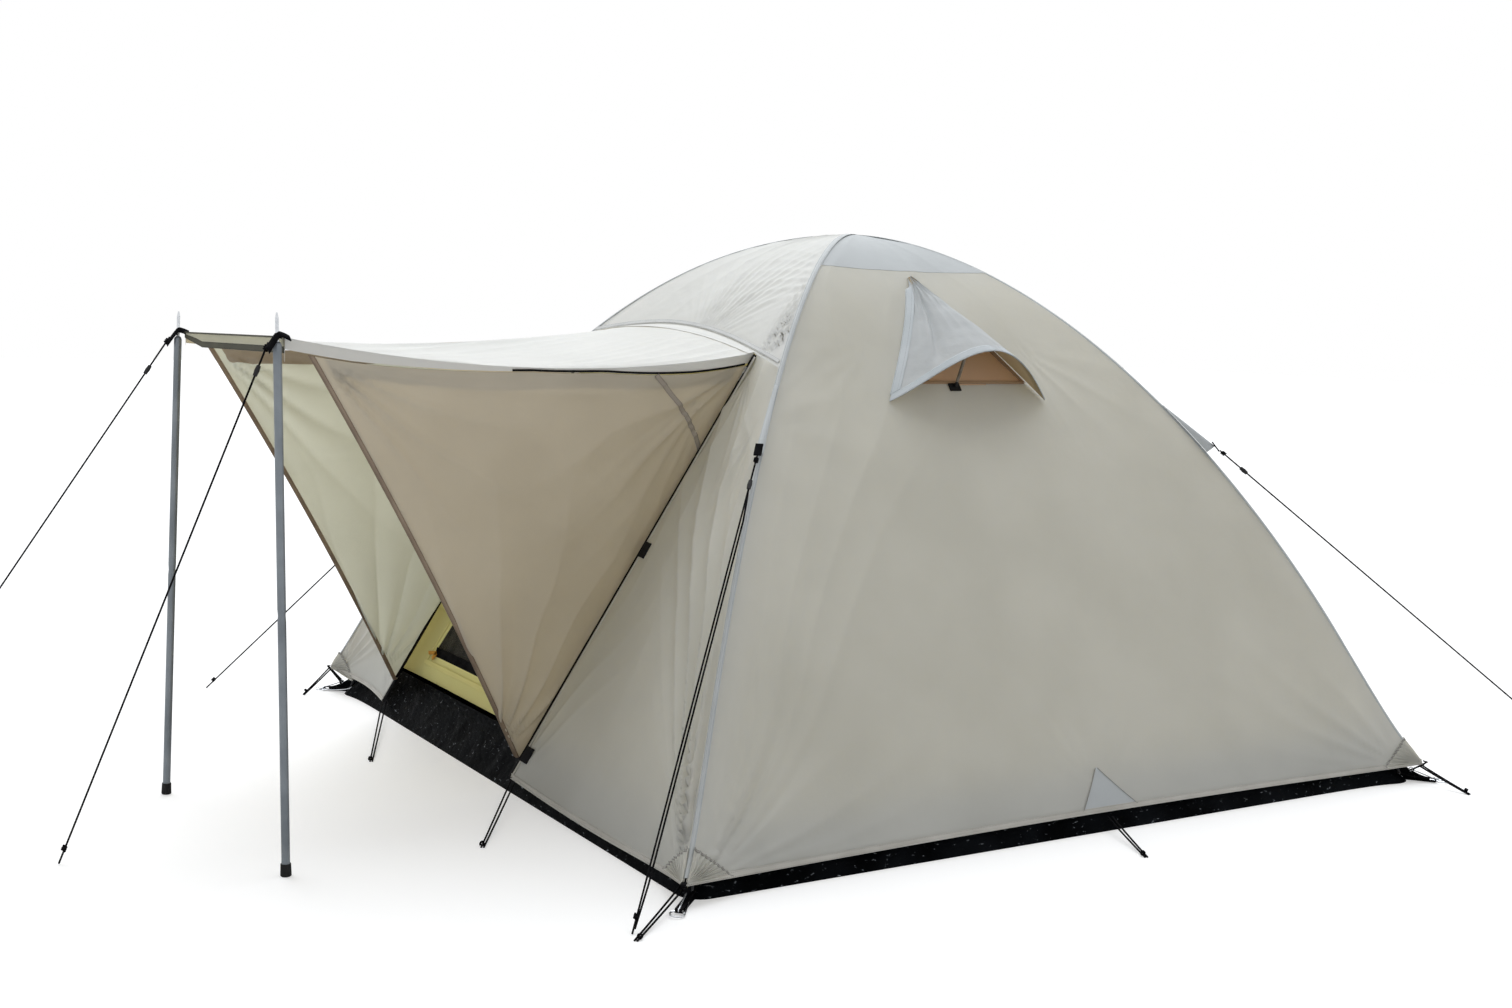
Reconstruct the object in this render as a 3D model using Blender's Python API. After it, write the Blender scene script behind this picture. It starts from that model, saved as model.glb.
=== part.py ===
"""Two-pole dome tent with a propped awning: frame, inner tent, flysheet, fittings and lines.

Lengths are metres. Z is up, the ground is z = 0 and the origin is the middle of the base.
The entrance faces -Y. Corners are named near (+X -Y), left (-X -Y), right (+X +Y), far (-X +Y).
"""

import math

import bmesh
import bpy
from mathutils import Matrix, Vector

# Clearances and the thickness that cloth is drawn at
GAP = 0.0003
SEAM = 0.0003
CLOTH = 0.003

# Flysheet dome: half width on the ground line, apex height and height of the hem
FLY_HALF = 1.05
FLY_HEIGHT = 1.358
HEM_HEIGHT = 0.033
WALL_DIP = 0.030
CORNERS = {"near": (1, -1), "right": (1, 1), "far": (-1, 1), "left": (-1, -1)}
# How each ridge curves: how fast it leans in, and how fast it climbs
RIDGE_LEAN = {"near": 0.961, "right": 1.129, "far": 0.978, "left": 0.978}
RIDGE_CLIMB = {"near": 1.677, "right": 1.717, "far": 1.684, "left": 1.684}
APEX_ANGLE = math.radians(89.9)

# Inner tent and its tub, set in from the flysheet by these steps
INNER_ROOM = 0.050
INNER_HEADROOM = 0.073
TUB_ROOM = 0.005
TUB_TUCK = 0.026
INNER_HALF = FLY_HALF - INNER_ROOM
INNER_HEIGHT = FLY_HEIGHT - INNER_HEADROOM
INNER_DIP = 0.020
INNER_FRONT_DIP = 0.070
TUB_HALF = FLY_HALF - TUB_ROOM
TUB_TOP_HALF = INNER_HALF - TUB_TUCK
TUB_HEIGHT = 0.110
TUB_SHEET = 0.003
FLOOR_MARGIN = 0.006
FLOOR_TURN_UP = 0.004
TUB_CORNER = 0.040
STRAP_WIDTH = 0.016
STRAP_THICK = 0.0014
STRAP_LAP = 0.005

# Inner door, a leaning arch, and the mesh window in it
DOOR_MIDDLE_X = -0.26
DOOR_SILL = 0.150
DOOR_HALF_WIDTH = 0.420
DOOR_SHOULDER = 0.780
DOOR_TOP_HALF = 0.170
DOOR_ARCH = 0.110
DOOR_HEEL = (0.003, 0.014)
WINDOW_BORDER = 0.026
DOOR_CUT = (0.3, 1.5)

# Poles, their joints and the pins in their ends
POLE_RADIUS = 0.00425
POLE_BORE = 0.0025
POLE_FOOT = 0.020
POLE_ROOM = 0.0045
POLE_CROWN_ROOM = 0.0026
FERRULE_WALL = 0.0007
FERRULE_LENGTH = 0.065
POLE_SECTION = 0.580
RING_LEAST = 0.020
PIN_RADIUS = 0.0020
PIN_DEPTH = 0.018
PIN_ROOM = 0.002
PIN_NECK = 0.006
PIN_BEND = 0.012
RING_OUT = 0.055
RING_REACH = FLY_HALF + RING_OUT
RING_RADIUS = 0.014

# Yoke seam over the entrance: its height at both ridges and its rise between them
YOKE_HEIGHT = {"left": 1.075, "near": 1.020}
YOKE_RISE = 0.055

# Entrance zips, from the hem to the yoke seam
ZIP_FOOT_X = {"near": 0.160, "far": -0.735}
ZIP_TOP_X = {"near": 0.425, "far": -0.486}
ZIP_WIDTH = 0.012
ZIP_THICK = 0.003
SLIDER_DROP = 0.045
SLIDER_SHIFT = 0.0012
SLIDER_SIZE = (0.007, 0.016, 0.005)
PULLER_LENGTH = 0.022
PULLER_THICK = 0.002

# Awning, held up by two uprights: x, distance out from the base, height
TIP = {"near": (0.545, 0.653, 1.065), "far": (-0.159, 0.677, 1.058)}
FOOT = {"near": (0.543, 0.638), "far": (-0.162, 0.712)}
ROOF_SAG = 0.055
EDGE_SAG = {"near": 0.045, "far": 0.030}
STRIP_DROP = 0.030
HEM_DROP = 0.018
WING_REACH = 0.935
WING_FOOT_HEIGHT = {"near": 0.083, "far": 0.100}
WING_FOOT_WIDTH = 0.012
WING_GAP = 0.0036
ROOF_LAP = 0.008

# Uprights and their fittings
UPRIGHT_RADIUS = 0.0085
UPRIGHT_SWAGE = 0.0009
SWAGE_HALF = 0.012
SPIKE_RADIUS = 0.0035
SPIKE_ABOVE = 0.055
SPIKE_DEPTH = 0.030
SPIKE_POINT = 0.010
FOOT_WALL = 0.0028
FOOT_SOLE = 0.006
FOOT_CUP = 0.026
FOOT_BEVEL = 0.002
TAB_HOLE = 0.0051
TAB_WIDTH = 0.022
TAB_REACH = 0.024
TAB_THICK = 0.0022
TAB_LINE_LAP = 0.006
TAB_SHOULDER = 1.05

# Roof vent on the right wall: the hood's top, the ends of its lip and the hole behind it
VENT_TOP = (-0.041, FLY_HEIGHT * 0.9028)
VENT_TIPS = (-0.291, 0.177)
VENT_TIP_HEIGHT = FLY_HEIGHT * 0.698
VENT_LIP_RISE = 0.121
VENT_DEPTH = 0.150
HOOD_SEAT = 0.0044
HOOD_START = 0.05
VENT_HOLE_MIDDLE = -0.034
VENT_HOLE_HALF = 0.146
VENT_HOLE_SILL = FLY_HEIGHT * 0.729
VENT_HOLE_HEIGHT = 0.180
PROP_RADIUS = 0.004
PROP_PLACE = (0.50, 0.80)
PROP_END = (-0.082, FLY_HEIGHT * 0.7202)
PROP_LEAN = 0.6
PROP_PAD = (0.032, 0.020, 0.003)
PROP_ROOM = 0.0009

# Flaps that stand off the ridges and carry the high guylines: top, tip, lower end, tip reach
FLAP_TOP = {"near": 0.985, "right": 0.935, "far": 0.935, "left": 0.935}
FLAP_TIP_HEIGHT = {"near": 0.853, "right": 0.834, "far": 0.862, "left": 0.862}
FLAP_STANDOFF = {"near": 0.016, "right": 0.026, "far": 0.022, "left": 0.022}
FLAP_DEPTH = 0.040
FLAP_THICK = 0.004
FLAP_TAB = 0.016
FLAP_TAB_WIDTH = 0.012
FLAP_SLOPE = 1.3
FLAP_BROW = 0.06

# Lines: where each guyline and loop meets the ground
LINE_RADIUS = 0.0016
LOOP_RADIUS = 0.0014
GUY_GROUND = {
    "near_tip": (0.270, -2.070),
    "far_tip": (-0.361, -2.395),
    "near_ridge": (1.154, -1.225),
    "left_ridge": (-1.260, -1.400),
    "right_ridge": (1.320, 1.500),
}
LOOP_GROUND = {
    "near_zip": (0.542, -1.271),
    "far_zip": (-0.241, -1.248),
    "near_corner": (1.190, -1.233),
    "right_corner": (1.214, 1.077),
    "left_corner": (-1.056, -1.173),
    "side": (1.233, -0.029),
}
SIDE_LOOP_Y = 0.040
LOOP_ASIDE = 0.012
RUNNER_LENGTH = 0.022
RUNNER_HALF_WIDTH = 0.0055
RUNNER_HALF_THICK = 0.0036
RUNNER_BORE = 0.0021
RUNNER_DISTANCE = {
    "near_tip": 0.060,
    "far_tip": 0.089,
    "near_ridge": 0.076,
    "left_ridge": 0.080,
    "right_ridge": 0.080,
}

# Hooks at the flysheet's corners
HOOK_RADIUS = 0.0015
HOOK_EYE = 0.0050
HOOK_REACH = 0.012
HOOK_EYE_ARC = (270, -20)
HOOK_BEND_ARC = (110, -15)

# Fineness of the meshes
FLY_COLUMNS = 8
FLY_ROWS = 18
INNER_COLUMNS = 8
INNER_ROWS = 9
ROOF_COLUMNS = 12
ROOF_ROWS = 13
POLE_SPACING = 0.11
ROUND_SIDES = 8
WIRE_SIDES = 6

UP = Vector((0, 0, 1))

FINISHES = {
    "fly_cloth": ((0.640, 0.590, 0.500), 0.80, 0.0),
    "awning_cloth": ((0.560, 0.480, 0.360), 0.80, 0.0),
    "inner_cloth": ((0.800, 0.640, 0.200), 0.85, 0.0),
    "mesh_cloth": ((0.050, 0.045, 0.040), 0.90, 0.0),
    "tub_sheet": ((0.012, 0.012, 0.013), 0.35, 0.0),
    "pole_fibre": ((0.020, 0.020, 0.022), 0.30, 0.0),
    "grey_tube": ((0.190, 0.200, 0.215), 0.45, 0.6),
    "bright_wire": ((0.620, 0.630, 0.640), 0.28, 1.0),
    "black_rubber": ((0.015, 0.015, 0.015), 0.75, 0.0),
    "black_plastic": ((0.018, 0.018, 0.018), 0.50, 0.0),
    "black_cord": ((0.016, 0.016, 0.018), 0.90, 0.0),
}


def clear_scene():
    for item in list(bpy.data.objects):
        bpy.data.objects.remove(item, do_unlink=True)


def finish(name):
    made = bpy.data.materials.get(name)
    if made is None:
        colour, roughness, metallic = FINISHES[name]
        made = bpy.data.materials.new(name)
        made.use_nodes = True
        shader = made.node_tree.nodes["Principled BSDF"]
        shader.inputs["Base Color"].default_value = (*colour, 1.0)
        shader.inputs["Roughness"].default_value = roughness
        shader.inputs["Metallic"].default_value = metallic
    return made


def add_object(name, mesh_data, finish_name, origin=Vector(), smooth=True):
    """Object whose mesh is drawn in the tent's frame and whose origin is moved to a given point."""
    bmesh.ops.recalc_face_normals(mesh_data, faces=mesh_data.faces)
    if mesh_data.calc_volume(signed=True) < 0:
        bmesh.ops.reverse_faces(mesh_data, faces=mesh_data.faces)
    bmesh.ops.translate(mesh_data, verts=mesh_data.verts, vec=-Vector(origin))
    mesh = bpy.data.meshes.new(name)
    mesh_data.to_mesh(mesh)
    mesh_data.free()
    if smooth:
        mesh.shade_smooth()
        mesh.set_sharp_from_angle(angle=math.radians(40))
    mesh.materials.append(finish(finish_name))
    made = bpy.data.objects.new(name, mesh)
    made.location = origin
    bpy.context.scene.collection.objects.link(made)
    return made


def add_pivot(name, place):
    pivot = bpy.data.objects.new(name, None)
    pivot.location = place
    bpy.context.scene.collection.objects.link(pivot)
    return pivot


def hang_on(pivot, *children):
    for child in children:
        child.location = child.location - pivot.location
        child.parent = pivot


def cut(target, cutter, operation="DIFFERENCE"):
    change = target.modifiers.new("cut", "BOOLEAN")
    change.operation = operation
    change.solver = "EXACT"
    change.object = cutter
    cutter.hide_render = True
    cutter.display_type = "WIRE"


def thick_sheet(name, skin, lining, columns, rows, finish_name, origin=Vector()):
    """Closed panel between two surfaces; both are functions of (across, down), each from 0 to 1."""
    sheet = bmesh.new()
    sides = []
    for surface in (skin, lining):
        grid = bmesh.ops.create_grid(sheet, x_segments=columns, y_segments=rows, size=0.5)
        sides.append(grid["verts"])
        for vertex in grid["verts"]:
            vertex.co = surface(vertex.co.x + 0.5, vertex.co.y + 0.5)
    twin = dict(zip(*sides))
    rim = [edge for edge in sheet.edges if edge.is_boundary and edge.verts[0] in twin]
    for edge in rim:
        first, second = edge.verts
        sheet.faces.new((first, second, twin[second], twin[first]))
    return add_object(name, sheet, finish_name, origin)


def backed(surface, depth):
    """The surface moved by a depth along its own normal."""
    step = 0.001

    def moved(across, down):
        left, right = max(across - step, 0), min(across + step, 1)
        above, below = max(down - step, 0), min(down + step, 1)
        slope_across = surface(right, down) - surface(left, down)
        slope_down = surface(across, below) - surface(across, above)
        return surface(across, down) + slope_across.cross(slope_down).normalized() * depth

    return moved


def swept(name, stations, finish_name, origin=Vector(), sides=ROUND_SIDES, closed=False, flat=None):
    """Round body through (centre, direction, radius) rings; a closed one joins its last ring to its first."""
    body = bmesh.new()
    side = stations[0][1].orthogonal().normalized()
    rings = []
    for count, (centre, direction, radius) in enumerate(stations):
        axis = direction.normalized()
        side = (side - axis * side.dot(axis)).normalized()
        other = axis.cross(side)
        squeeze = flat[count] if flat else 1.0
        ring = []
        for step in range(sides):
            turn = 2 * math.pi * step / sides
            spoke = side * math.cos(turn) + other * math.sin(turn) * squeeze
            ring.append(body.verts.new(centre + spoke * radius))
        rings.append(ring)
    pairs = list(zip(rings, rings[1:]))
    if closed:
        pairs.append((rings[-1], rings[0]))
    else:
        body.faces.new(rings[0])
        body.faces.new(rings[-1])
    for lower, upper in pairs:
        for step in range(sides):
            after = (step + 1) % sides
            body.faces.new((lower[step], lower[after], upper[after], upper[step]))
    return add_object(name, body, finish_name, origin)


def wire_stations(points, radius):
    """Rings for a bent wire; each ring faces along the chord of its neighbours."""
    stations = []
    for count, point in enumerate(points):
        before = points[max(count - 1, 0)]
        after = points[min(count + 1, len(points) - 1)]
        stations.append((point, after - before, radius))
    return stations


def smooth_line(points, steps):
    """Points on a smooth curve through the given ones."""
    line = []
    last = len(points) - 1
    for count in range(last):
        before, start = points[max(count - 1, 0)], points[count]
        end, after = points[count + 1], points[min(count + 2, last)]
        for step in range(steps):
            t = step / steps
            bend = (end - before) * t + (before * 2 - start * 5 + end * 4 - after) * t**2
            bend = bend + (start * 3 - before - end * 3 + after) * t**3
            line.append(start + bend * 0.5)
    line.append(points[last])
    return line


def plate(name, outline, thickness_axis, thickness, finish_name):
    """Flat body: an outline in space, given half of the thickness on each side of its plane."""
    body = bmesh.new()
    offset = thickness_axis.normalized() * (thickness / 2)
    face = body.faces.new([body.verts.new(point - offset) for point in outline])
    grown = bmesh.ops.extrude_face_region(body, geom=[face])
    moved = [item for item in grown["geom"] if isinstance(item, bmesh.types.BMVert)]
    bmesh.ops.translate(body, verts=moved, vec=offset * 2)
    return add_object(name, body, finish_name, smooth=False)


def box(name, centre, size, turn, finish_name):
    body = bmesh.new()
    placing = Matrix.Translation(centre) @ turn.to_4x4() @ Matrix.Diagonal((*size, 1))
    bmesh.ops.create_cube(body, size=1.0, matrix=placing)
    return add_object(name, body, finish_name, smooth=False)


def axes_from(forward, up):
    """Rotation whose Y runs forward and whose Z is as near to up as it can be."""
    along = forward.normalized()
    side = along.cross(up).normalized()
    return Matrix((side, along, side.cross(along))).transposed()


def diagonal(corner):
    side_x, side_y = CORNERS[corner]
    return Vector((side_x, side_y, 0))


def ridge_reach(corner, share):
    """Half width of the dome at a corner's ridge as a share of its base; share is of the height."""
    angle = math.asin(min(1.0, share) ** (1 / RIDGE_CLIMB[corner]))
    return math.cos(angle) ** RIDGE_LEAN[corner]


def ridge_at(corner, height, half=FLY_HALF, apex=FLY_HEIGHT):
    return diagonal(corner) * (half * ridge_reach(corner, height / apex)) + UP * height


def row_height(down, bottom, apex):
    """Height of a wall's row: even steps along the arch from the bottom edge to the apex."""
    climb = RIDGE_CLIMB["near"]
    start = math.asin((bottom / apex) ** (1 / climb))
    return apex * math.sin(start + (APEX_ANGLE - start) * down) ** climb


def wall_at(start, end, across, height, half=FLY_HALF, apex=FLY_HEIGHT, dip=WALL_DIP, flat=2):
    """Point of a wall between two ridges; across runs from 0 at the start corner to 1.

    The wall hollows inwards by the dip; a larger flat keeps the hollow's middle broader.
    """
    first = ridge_at(start, height, half, apex)
    run = ridge_at(end, height, half, apex) - first
    inset = SEAM / run.length
    place = inset + across * (1 - 2 * inset)
    share = height / apex
    hollow = dip * (1 - abs(2 * place - 1) ** flat) * 4 * share * (1 - share) * run.length / (2 * half)
    return first + run * place + UP.cross(run).normalized() * hollow


def shrunk(surface, half, apex, depth=CLOTH):
    """The inner face of a dome panel; it keeps the seams on the planes of the ridges."""
    flat_scale = (half - depth) / half
    tall_scale = (apex - depth) / apex

    def moved(across, down):
        point = surface(across, down)
        return Vector((point.x * flat_scale, point.y * flat_scale, point.z * tall_scale))

    return moved


def fly_wall(name, start, end):
    def skin(across, down):
        return wall_at(start, end, across, row_height(down, HEM_HEIGHT, FLY_HEIGHT))

    lining = shrunk(skin, FLY_HALF, FLY_HEIGHT)
    return thick_sheet(name, skin, lining, FLY_COLUMNS, FLY_ROWS, "fly_cloth")


def inner_wall(name, start, end):
    def skin(across, down):
        height = row_height(down, TUB_HEIGHT + GAP, INNER_HEIGHT)
        return wall_at(start, end, across, height, INNER_HALF, INNER_HEIGHT, INNER_DIP)

    lining = shrunk(skin, INNER_HALF, INNER_HEIGHT)
    return thick_sheet(name, skin, lining, INNER_COLUMNS, INNER_ROWS, "inner_cloth")


def pole_line(start, end, depth):
    """Centre line of an arched pole from corner to corner, its crown a depth under the fly's apex."""
    half = FLY_HALF - CLOTH - GAP - POLE_RADIUS - POLE_ROOM
    apex = FLY_HEIGHT - depth
    steps = 90
    first = math.asin((POLE_FOOT / apex) ** (1 / RIDGE_CLIMB[start]))
    arch = []
    for corner in (start, end):
        leg = []
        for step in range(steps):
            angle = first + (math.pi / 2 - first) * step / steps
            share = math.sin(angle) ** RIDGE_CLIMB[corner]
            leg.append(ridge_at(corner, share * apex, half, apex))
        arch.append(leg)
    return arch[0] + [UP * apex] + arch[1][::-1]


def distances(line):
    total = [0.0]
    for first, second in zip(line, line[1:]):
        total.append(total[-1] + (second - first).length)
    return total


def along_line(line, run, distance):
    """Point and direction at a distance along a line whose running lengths are given."""
    for count in range(len(line) - 1):
        if distance <= run[count + 1] or count == len(line) - 2:
            step = line[count + 1] - line[count]
            return line[count] + step * ((distance - run[count]) / step.length), step.normalized()


def pole_depth(order):
    """How far a pole's centre line lies under the fly's apex; the second pole passes under the first."""
    crossing = 2 * POLE_RADIUS + GAP
    return CLOTH + GAP + POLE_CROWN_ROOM + POLE_RADIUS + order * crossing


def make_pole(name, start, end, order):
    line = pole_line(start, end, pole_depth(order))
    run = distances(line)
    length = run[-1]
    joints = max(1, round(length / POLE_SECTION) - 1)
    marks = []
    for joint in range(joints):
        middle = length * (joint + 1) / (joints + 1)
        if abs(middle - length / 2) < FERRULE_LENGTH:
            middle += 1.5 * FERRULE_LENGTH
        low, high = middle - FERRULE_LENGTH / 2, middle + FERRULE_LENGTH / 2
        thick = POLE_RADIUS + FERRULE_WALL
        marks += [(low, POLE_RADIUS), (low, thick), (high, thick), (high, POLE_RADIUS)]
    plain = [POLE_SPACING * step for step in range(1, int(length / POLE_SPACING))]
    for place in plain:
        if all(abs(place - mark) > RING_LEAST for mark, _ in marks) and length - place > RING_LEAST:
            marks.append((place, POLE_RADIUS))
    marks.sort(key=lambda mark: mark[0])
    socket = PIN_DEPTH + PIN_ROOM
    rings = [(socket, POLE_BORE), (0.0, POLE_BORE), (0.0, POLE_RADIUS)] + marks
    rings += [(length, POLE_RADIUS), (length, POLE_BORE), (length - socket, POLE_BORE)]
    stations = []
    for place, radius in rings:
        centre, direction = along_line(line, run, place)
        stations.append((centre, direction, radius))
    swept(name, stations, "pole_fibre")
    foot_ends = {start: along_line(line, run, 0.0), end: along_line(line, run, length)}
    foot_ends[end] = (foot_ends[end][0], -foot_ends[end][1])
    return foot_ends


def make_frame():
    """Both poles, and at each corner the place and inward direction of a pole's end."""
    feet = make_pole("pole_left_right", "left", "right", 0)
    feet.update(make_pole("pole_near_far", "near", "far", 1))
    return feet


def ring_centre(corner):
    return diagonal(corner) * RING_REACH + UP * (STRAP_THICK + 2 * GAP + PIN_RADIUS)


def ring_point(corner, turn):
    """Centre of the ring's wire; it climbs by one wire as it goes round, to close over its start."""
    outward = diagonal(corner).normalized()
    side = UP.cross(outward)
    climb = (2 * PIN_RADIUS + GAP) * turn / (2 * math.pi)
    spoke = side * math.cos(turn) + outward * math.sin(turn)
    return ring_centre(corner) + spoke * RING_RADIUS + UP * climb


def make_end_pin(corner, foot, inward):
    """Bent wire: a pin in the pole's end, a run along the ground and a ring."""
    outward = diagonal(corner).normalized()
    start_turn = -math.asin(RING_RADIUS / (ring_centre(corner) - foot).length)
    low = ring_point(corner, 0).z
    below = foot - inward * PIN_NECK
    bend = Vector((below.x, below.y, low)) + outward * PIN_BEND
    loop = [ring_point(corner, start_turn + 2 * math.pi * step / 14) for step in range(15)]
    points = [foot + inward * PIN_DEPTH, foot]
    for step in range(6):
        t = step / 6
        points.append(below.lerp(bend, t).lerp(bend.lerp(loop[0], t), t))
    stations = wire_stations(points + loop, PIN_RADIUS)
    swept(f"end_pin_{corner}", stations, "bright_wire", sides=WIRE_SIDES)


def make_fly_hook(corner):
    """Wire hook: an eye under the fly's corner, a shank and a bend over the ring's near side."""
    outward = diagonal(corner).normalized()
    wire = ring_point(corner, 3 * math.pi / 2)
    eye = diagonal(corner) * (FLY_HALF * ridge_reach(corner, HEM_HEIGHT / FLY_HEIGHT) + HOOK_REACH)
    eye = eye + UP * (HEM_HEIGHT - HOOK_EYE / 2)
    clear = PIN_RADIUS + HOOK_RADIUS + GAP
    points = []
    for middle, arc, reach, steps in ((eye, HOOK_EYE_ARC, HOOK_EYE, 7), (wire, HOOK_BEND_ARC, clear, 5)):
        for step in range(steps + 1):
            turn = math.radians(arc[0] + (arc[1] - arc[0]) * step / steps)
            points.append(middle + (outward * math.cos(turn) + UP * math.sin(turn)) * reach)
    swept(f"fly_hook_{corner}", wire_stations(points, HOOK_RADIUS), "bright_wire", eye, WIRE_SIDES)
    return eye


def rounded_square(half, radius, height):
    points = []
    for corner in ("near", "right", "far", "left"):
        side = diagonal(corner)
        middle = side * (half - radius) + UP * height
        start = math.atan2(side.y, side.x) - math.pi / 4
        for step in range(5):
            turn = start + math.pi / 2 * step / 4
            points.append(middle + Vector((math.cos(turn), math.sin(turn), 0)) * radius)
    return points


def make_tub():
    """Tub groundsheet: floor and leaning walls in one, with a strap at each corner."""
    inner_corner = TUB_CORNER - TUB_SHEET
    edge_height = TUB_SHEET + FLOOR_TURN_UP
    edge_half = TUB_HALF - TUB_SHEET - (TUB_HALF - TUB_TOP_HALF) * edge_height / TUB_HEIGHT
    levels = [
        (TUB_HALF, TUB_CORNER, 0.0),
        (TUB_TOP_HALF, TUB_CORNER, TUB_HEIGHT),
        (TUB_TOP_HALF - TUB_SHEET, inner_corner, TUB_HEIGHT),
        (edge_half, inner_corner, edge_height),
        (TUB_TOP_HALF - TUB_SHEET - FLOOR_MARGIN, inner_corner, TUB_SHEET),
    ]
    body = bmesh.new()
    rings = []
    for half, radius, height in levels:
        rings.append([body.verts.new(point) for point in rounded_square(half, radius, height)])
    body.faces.new(rings[0])
    body.faces.new(rings[-1])
    count = len(rings[0])
    for lower, upper in zip(rings, rings[1:]):
        for step in range(count):
            after = (step + 1) % count
            body.faces.new((lower[step], lower[after], upper[after], upper[step]))
    tub = add_object("tub_floor", body, "tub_sheet")
    for corner in CORNERS:
        outward = diagonal(corner).normalized()
        start = (TUB_HALF - TUB_CORNER) * math.sqrt(2) + TUB_CORNER - TUB_SHEET * 2
        end = RING_REACH * math.sqrt(2) - RING_RADIUS + STRAP_LAP
        centre = outward * ((start + end) / 2) + UP * (GAP + STRAP_THICK / 2)
        size = (STRAP_WIDTH, end - start, STRAP_THICK)
        strap = box(f"strap_{corner}", centre, size, axes_from(outward, UP), "tub_sheet")
        cut(tub, strap, "UNION")
    return tub


def door_outline(border, heel=(0.0, 0.0)):
    """Inner door seen from the front, drawn in by a border: a leaning arch as (x, z) points.
    The heel, its width and its height, takes the lower corners off a leaf that has to swing.
    """
    half, top_half = DOOR_HALF_WIDTH - border, DOOR_TOP_HALF - border
    sill, shoulder = DOOR_SILL + border, DOOR_SHOULDER
    heel_half = half - (half - top_half) * heel[1] / (shoulder - sill)
    outline = [(heel[0] - half, sill), (half - heel[0], sill)]
    if heel[1]:
        outline.append((heel_half, sill + heel[1]))
    for step in range(9):
        turn = math.pi * step / 8
        outline.append((top_half * math.cos(turn), shoulder + (DOOR_ARCH - border) * math.sin(turn)))
    if heel[1]:
        outline.append((-heel_half, sill + heel[1]))
    return [Vector((DOOR_MIDDLE_X + x, 0, z)) for x, z in outline]


def door_cutter(name, border, heel=(0.0, 0.0)):
    """Prism that passes through the front wall and no other."""
    inner_end, outer_end = (INNER_HALF * share for share in DOOR_CUT)
    outline = [point - Vector((0, (inner_end + outer_end) / 2, 0)) for point in door_outline(border, heel)]
    return plate(name, outline, Vector((0, 1, 0)), outer_end - inner_end, "mesh_cloth")


def inner_front_skin(across, down):
    height = row_height(down, TUB_HEIGHT + GAP, INNER_HEIGHT)
    return wall_at("left", "near", across, height, INNER_HALF, INNER_HEIGHT, INNER_FRONT_DIP, 6)


def door_hinge():
    """Middle of the door's sill, just inside the inner face of the front wall."""
    sill = wall_at("left", "near", 0.5, DOOR_SILL, INNER_HALF, INNER_HEIGHT, INNER_FRONT_DIP, 6)
    return Vector((DOOR_MIDDLE_X, sill.y + CLOTH + 2 * GAP, DOOR_SILL + 2 * GAP))


def make_inner_tent():
    lining = shrunk(inner_front_skin, INNER_HALF, INNER_HEIGHT)
    pieces = {}
    for name, cloth in (("inner_front", "inner_cloth"), ("inner_door", "inner_cloth"),
                        ("inner_door_mesh", "mesh_cloth")):
        origin = Vector() if name == "inner_front" else door_hinge()
        pieces[name] = thick_sheet(
            name, inner_front_skin, lining, INNER_COLUMNS, INNER_ROWS, cloth, origin)
    cut(pieces["inner_front"], door_cutter("door_hole", 0.0))
    cut(pieces["inner_door"], door_cutter("door_edge", 2 * GAP, DOOR_HEEL), "INTERSECT")
    cut(pieces["inner_door"], door_cutter("window_hole", WINDOW_BORDER))
    cut(pieces["inner_door_mesh"], door_cutter("window_edge", WINDOW_BORDER + GAP), "INTERSECT")
    hang_on(pieces["inner_door"], pieces["inner_door_mesh"])
    for name, start, end in (("inner_right", "near", "right"), ("inner_rear", "right", "far"),
                             ("inner_left", "far", "left")):
        inner_wall(name, start, end)


def seam_at(across):
    """Point of the yoke's curved lower seam; across runs from 0 at the left ridge to 1."""
    height = YOKE_HEIGHT["left"] + (YOKE_HEIGHT["near"] - YOKE_HEIGHT["left"]) * across
    height += YOKE_RISE * 4 * across * (1 - across)
    return wall_at("left", "near", across, height, dip=0.0)


def seam_share(x):
    """How far across the yoke's seam has the given x, found by halving."""
    low, high = 0.0, 1.0
    for _ in range(40):
        middle = (low + high) / 2
        if seam_at(middle).x < x:
            low = middle
        else:
            high = middle
    return (low + high) / 2


def zip_line(side):
    """Foot and top of an entrance zip's centre line, on the flysheet's outer face."""
    corner = {"near": "near", "far": "left"}[side]
    foot = Vector((ZIP_FOOT_X[side], ridge_at(corner, HEM_HEIGHT).y, HEM_HEIGHT))
    return foot, seam_at(seam_share(ZIP_TOP_X[side]))


def zip_at(side, climb):
    foot, top = zip_line(side)
    return foot.lerp(top, climb)


def panel_edge(side, climb):
    """Ridge end of a front panel's row at the same climb as a point of its zip."""
    corner = {"near": "near", "far": "left"}[side]
    height = HEM_HEIGHT + (YOKE_HEIGHT[corner] - HEM_HEIGHT) * climb
    return ridge_at(corner, height)


def zip_side(side, climb):
    """Unit vector from a zip towards its panel's ridge."""
    return (panel_edge(side, climb) - zip_at(side, climb)).normalized()


def zip_face(side, climb):
    """Outward normal of the flysheet at a zip."""
    foot, top = zip_line(side)
    normal = (top - foot).cross(zip_side(side, climb))
    return normal.normalized() * (-1 if normal.y > 0 else 1)


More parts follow.
